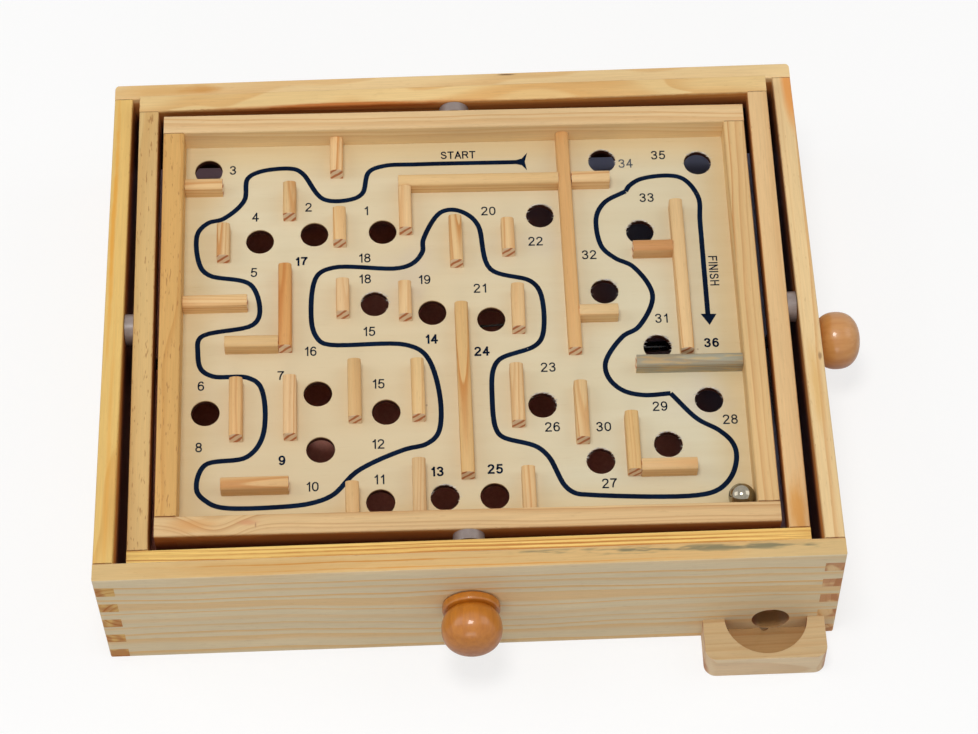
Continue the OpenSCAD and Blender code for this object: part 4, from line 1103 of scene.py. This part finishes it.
def knob_outline():
    """The knob's outline from the wall outwards, radius and height in metres."""
    t = np.radians(np.linspace(NECK_FROM, 90, KNOB_STEPS))
    swell = 2 / KNOB_POWER
    head = np.stack([KNOB_R * np.cos(t).clip(0) ** swell,
                     KNOB_REACH + np.sign(t) * KNOB_L / 2 * np.abs(np.sin(t)) ** swell], -1)
    head[-1, 0] = 0
    low, high, rim = COLLAR_GAP, COLLAR_GAP + COLLAR_T, COLLAR_R - COLLAR_RIM
    outline = np.array([(0, low)] + arc((rim, low + COLLAR_RIM), COLLAR_RIM, -90, 0, 7)
                       + arc((rim, high - COLLAR_RIM), COLLAR_RIM, 0, 90, 7)
                       + [(head[0, 0] - GROOVE, (high + head[0, 1]) / 2)] + head.tolist())
    return outline * MM


def make_knobs():
    """The two turned knobs, each standing off its wall along its rod."""
    points, faces = lathe(knob_outline(), KNOB_SIDES)
    for name, axes, grain, light, dark in (
            ("front", [[1, 0, 0], [0, 0, 1], [0, -1, 0]], ALONG_Y, (197, 122, 28), (179, 106, 22)),
            ("side", [[0, 1, 0], [0, 0, 1], [1, 0, 0]], ALONG_X, (208, 149, 83), (198, 135, 69))):
        height = JOINTS[name + "_knob_turn"]["pos_m"][2]
        low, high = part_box(name + "_knob")
        wall = np.array([(low[0] + high[0]) / 2, high[1] + COLLAR_GAP * MM, height])
        if name == "side":
            wall[:2] = low[0] - COLLAR_GAP * MM, (low[1] + high[1]) / 2
        stand_in("turned_" + name + "_knob", name + "_knob", name + "_knob",
                 points @ np.array(axes) + wall, faces,
                 varnished_wood("varnish_" + name, grain, srgb(*light), srgb(*dark), height), 50)


def make_ball():
    """The polished ball, as round as the render shows it."""
    low, high = (np.array(corner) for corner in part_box("steel_ball"))
    radius = (high - low).min() / 2
    angle = np.radians(np.linspace(-90, 90, BALL_STEPS))
    outline = np.stack([radius * np.cos(angle), radius * np.sin(angle)], -1)
    outline[[0, -1], 0] = 0
    points, faces = lathe(outline, BALL_SIDES)
    # the ball's steel darker and warmer than bright steel: painted reflection of darker, wooden
    # surroundings
    stand_in("polished_ball", "steel_ball", "ball", points + (low + high) / 2, faces,
             metal("steel_with_painted_reflection", srgb(158, 150, 134), 0.04, depth=0.002), 90)


# Cords and springs, in mm

CORD_R, CORD_LAY, WIND_R, CORD_PITCH, CORD_TURNS = 0.5, 2.4, 3.15, 1.6, 3
EYE_R, EYE_DROP, HOOK_R, HOOK_TAIL = 2.2, 3.8, 1.4, 3
SPRING_R, SPRING_WIRE, SPRING_TURNS = 2.1, 0.6, 12.25
SPRING_L, SPRING_LEAD, LEAD_BEND, RING_SWEEP = SPRING_TURNS * 1.05, 2.2, 0.55, 210
SPRING_REACH = 2 * SPRING_LEAD + SPRING_L + HOOK_R
SIDEWAYS, INWARD, UP = np.eye(3)

# For each cord, in mm: the middle of its winding along its rod, how far out its eyes sit, and
# the underside that they are screwed into
WINDING_AT = {"front": 9.0, "side": 133.75}
EYES_OUT = {"front": 124.5, "side": 100.0}
EYES_UNDER = {"front": 46.6, "side": 49.0}


def steps(low, high, count):
    """Evenly spaced numbers as a column."""
    return np.linspace(low, high, count)[:, None]


def hook(center, back, side):
    """A cord's hook round a wire: half a turn beyond it and a tail back beside it."""
    a = np.radians(steps(0, 180, 15))
    bow = center + HOOK_R * (np.cos(a) * side - np.sin(a) * back)
    return np.concatenate([bow, center - HOOK_R * side + steps(0.34, 1, 3) * HOOK_TAIL * back])


def winding(center, along, level, first, last):
    """A cord's turns round its rod, a helix that comes on and goes off under the rod."""
    whole = CORD_TURNS * 360 + first + last
    share = steps(0, 1, int(whole / 7.5))
    a = np.radians(-first + whole * share)
    return (center + along * CORD_PITCH * CORD_TURNS * (share - 0.5)
            + WIND_R * (np.sin(a) * level - np.cos(a) * UP))


def lead(center, level, end):
    """Degrees from the rod's lowest line at which a straight run to a point leaves it."""
    run, rise = abs((end - center) @ level), (end - center)[2]
    return 90 + math.degrees(math.atan2(rise, run) - math.acos(WIND_R / math.hypot(run, rise)))


def cord_halves(center, along, level, ends):
    """The cord as two runs of points from the middle of its winding out to its two hooks, each
    cut in two halfway along its straight run."""
    turns = winding(center, along, level, lead(center, level, ends[0]),
                    lead(center, level, ends[1]))
    middle = len(turns) // 2
    halves = []
    for wound, end, side in ((turns[:middle + 1][::-1], ends[0], -along),
                             (turns[middle:], ends[1], along)):
        outer = hook(end, unit(center - end), side)
        cut = (wound[-1:] + outer[:1]) / 2
        halves.append((np.concatenate([wound, cut]), np.concatenate([cut, outer])))
    return halves


def spring_path(start, toward, side):
    """A hook round an eye's wire, the coils and a second hook square to the first."""
    d = unit(toward - start)
    n = np.cross(d, side)
    near, far = start + d * SPRING_LEAD, start + d * (2 * SPRING_LEAD + SPRING_L)
    one = np.radians(steps(90 - RING_SWEEP, 90, 15))
    two = np.radians(steps(0, RING_SWEEP, 15))
    share = steps(0, 1, int(SPRING_TURNS * 20) + 1)
    a = 2 * np.pi * SPRING_TURNS * share
    bend = (HOOK_R + SPRING_R) / 2
    return np.concatenate([
        start + HOOK_R * (np.sin(one) * side - np.cos(one) * d),
        [start + d * SPRING_LEAD * LEAD_BEND + side * bend],
        near + d * SPRING_L * share + SPRING_R * (np.cos(a) * side + np.sin(a) * n),
        [far - d * SPRING_LEAD * LEAD_BEND + n * bend],
        far + HOOK_R * (np.cos(two) * n + np.sin(two) * d)])


def tube(path, radius, reference, sides=12):
    """Points, faces and corner UVs of a round tube along a path: each ring's first corner is
    the reference made square to the path there. U is the way along in metres, V the way round."""
    way = unit(np.gradient(path, axis=0))
    first = unit(reference - way * (way @ reference)[:, None])
    second = np.cross(way, first)
    angle = np.linspace(0, 2 * np.pi, sides, endpoint=False)
    rings = path[:, None] + radius * (np.cos(angle)[:, None] * first[:, None]
                                      + np.sin(angle)[:, None] * second[:, None])
    faces = grid_faces(len(path), sides, close_columns=True)
    length = np.concatenate([[0], np.cumsum(np.linalg.norm(np.diff(path, axis=0), axis=1))]) * MM
    row, column = faces // sides, faces % sides
    column = np.where((column == 0) & (faces % sides != faces[:, :1] % sides), sides, column)
    uv = np.stack([length[row], column / sides], -1).reshape(-1, 2)
    last = (len(path) - 1) * sides
    caps = [list(range(sides))[::-1], list(range(last, last + sides))]
    uv = np.concatenate([uv, np.zeros((2 * sides, 2))])
    return rings.reshape(-1, 3), faces.tolist() + caps, uv


def lay_tube(name, path, radius, reference, material, node):
    """A tube of a radius along a path, in its material, in place of a CAD node, its
    transform baked into its points."""
    points, faces, uv = tube(path, radius, np.asarray(reference, float))
    piece = new_piece(name, points * MM, faces, material, 60)
    layer = piece.data.uv_layers.new(name="UVMap")
    layer.data.foreach_set("uv", uv.astype(np.float32).ravel())
    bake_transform(piece)
    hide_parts(node)


def make_cords(wire):
    """Both cords with their springs, each wound round its rod and hooked at its ends, with a coil
    spring on one side. The turns stay on their rod. The front cord, which has one joint more, has
    its turns as pieces of their own."""
    finish = twisted_cord()
    for label, bodies, turn, along, run, sprung, side, reference in (
            ("front", ("middle_frame", "maze_board"), BOARD_TURN, INWARD, SIDEWAYS, 0, -INWARD,
             (0, 0.6, 0.8)),
            ("side", ("case", "middle_frame"), FRAME_TURN, SIDEWAYS, INWARD, 1, SIDEWAYS,
             (0.6, 0, 0.8))):
        height = JOINTS[label + "_knob_turn"]["pos_m"][2] / MM
        center = along * WINDING_AT[label] + UP * height
        eyes = [along * WINDING_AT[label] + run * s * (EYES_OUT[label] - EYE_R)
                + UP * (EYES_UNDER[label] - EYE_DROP) for s in (-1, 1)]
        eyes = list(turned(np.array(eyes) * MM, turn) / MM)
        ends = list(eyes)
        ends[sprung] = eyes[sprung] + unit(center - eyes[sprung]) * SPRING_REACH
        for k, (wound, outer) in enumerate(cord_halves(center, along, run, ends)):
            name = "{}_cord_{}".format(label, "ab"[k])
            beside = center + unit(eyes[k] - center) * (WIND_R + 2 * CORD_R)
            if label == "front":
                lay_tube(name + "_wound", wound, CORD_R, reference, finish,
                         label + "_cord")
            else:
                outer = np.concatenate([wound, outer[1:]])
            lay_tube(name, outer, CORD_R, reference, finish,
                     label + "_cord")
            k == sprung
        d = unit(center - eyes[sprung])
        lay_tube(label + "_coil_spring", spring_path(eyes[sprung], center, side), SPRING_WIRE / 2,
                 unit(d + side + np.cross(d, side)), wire,
                 label + "_spring")


# Camera, light and floor


def aim(thing, place, target, roll=0.0):
    """Stands a camera or light at a place, looking at a target, turned by roll in degrees."""
    way = Vector(target) - Vector(place)
    turn = way.to_track_quat("-Z", "Y").to_matrix() @ Matrix.Rotation(math.radians(roll), 3, "Z")
    thing.matrix_world = Matrix.Translation(place) @ turn.to_4x4()


# The camera that the photograph's corners fit: its place, where it looks, its roll and lens
CAMERA_AT, CAMERA_TO = (-0.00121, -0.67425, 1.03754), (0.01167, 0.01141, 0)
CAMERA_ROLL, CAMERA_LENS = -1.0985, 103.523


def set_camera():
    """The photograph's camera."""
    made = bpy.data.objects.new("camera", bpy.data.cameras.new("camera"))
    made.data.sensor_width = 36
    made.data.lens = CAMERA_LENS
    made.data.clip_start = 0.05
    bpy.context.scene.collection.objects.link(made)
    aim(made, CAMERA_AT, CAMERA_TO, CAMERA_ROLL)
    bpy.context.scene.camera = made


WORLD_LIGHT = 0.34
LIT_AT = (0, 0, 0.03)
WARM, NEUTRAL = (1.0, 0.985, 0.96), (1, 1, 1)
WHITE = (1, 1, 1, 1)


def area_light(name, place, size, power, color):
    """A rectangular lamp that looks at the object."""
    data = bpy.data.lights.new(name, "AREA")
    data.shape = "RECTANGLE"
    data.size, data.size_y = size
    data.energy = power
    data.color = color
    made = bpy.data.objects.new(name, data)
    bpy.context.scene.collection.objects.link(made)
    aim(made, place, LIT_AT)


def two_shaders(tree, share, first, second, end):
    """Joins two shaders, mixed by a share, to the node that a material or world ends at."""
    made = put(tree, "ShaderNodeMixShader", {0: share, 1: first, 2: second})
    feed(end, {0: Value(made.outputs[0])})


def set_stage():
    """A pale floor and surroundings that show white behind the object and in its mirrors."""
    scene = bpy.context.scene
    scene.view_settings.view_transform = "Standard"
    world = scene.world or bpy.data.worlds.new("surroundings")
    scene.world = world
    world.use_nodes = True
    tree = world.node_tree
    tree.nodes.clear()
    path = put(tree, "ShaderNodeLightPath").outputs
    seen = Value(path["Is Glossy Ray"]).calc("MAXIMUM", Value(path["Is Transmission Ray"]))
    seen = Value(path["Is Camera Ray"]).calc("MAXIMUM", seen)
    two_shaders(tree, seen,
                result(tree, "ShaderNodeBackground", {"Color": WHITE, "Strength": WORLD_LIGHT}),
                result(tree, "ShaderNodeBackground", {"Color": WHITE, "Strength": 1.0}),
                put(tree, "ShaderNodeOutputWorld"))

    made = bpy.data.materials.new("studio_floor")
    made.use_nodes = True
    tree = made.node_tree
    shader = tree.nodes["Principled BSDF"]
    feed(shader, {"Base Color": (0.72, 0.72, 0.72, 1), "Roughness": 0.9,
                  "Specular IOR Level": 0.0})
    share = result(tree, "ShaderNodeLightPath", output="Is Camera Ray") * 0.62
    two_shaders(tree, share, Value(shader.outputs[0]),
                result(tree, "ShaderNodeEmission", {"Color": WHITE, "Strength": 1.17}),
                tree.nodes["Material Output"])
    floor = [(-4, -4, 0), (4, -4, 0), (4, 4, 0), (-4, 4, 0)]
    new_piece("studio_floor", floor, [[0, 1, 2, 3]], made, smooth=False)


def set_lights():
    """A soft key nearly overhead, a little to the front and left, and weak fills in front and
    at both sides."""
    area_light("key", (-0.12, -0.25, 1.65), (0.45, 0.45), 11.2, WARM)
    area_light("fill_front", (-0.1, -1.5, 0.55), (0.8, 0.5), 2.6, WARM)
    area_light("fill_left", (-1.1, 0.1, 1.0), (0.8, 0.8), 3, NEUTRAL)
    area_light("fill_right", (1.1, 0.1, 1.0), (0.8, 0.8), 2.5, NEUTRAL)


# Building


wire = dress_pieces()
for wall in ("front_wall", "back_wall", "left_wall", "right_wall", "catch_tray", "guide_block"):
    soften(wall, "case")
for end in ("front", "back", "left", "right"):
    soften("frame_{}_rail".format(end), "middle_frame")
    soften("board_{}_rail".format(end), "maze_board")
soften("maze_panel", "maze_board", 0.12 * MM)
make_strips("long_strips_rounded", "long_strips", True, 5)
make_strips("cross_strips_rounded", "cross_strips", False, 8)
print_panel()
torn_rims()
make_knobs()
make_ball()
make_cords(wire)
set_stage()
set_lights()
set_camera()
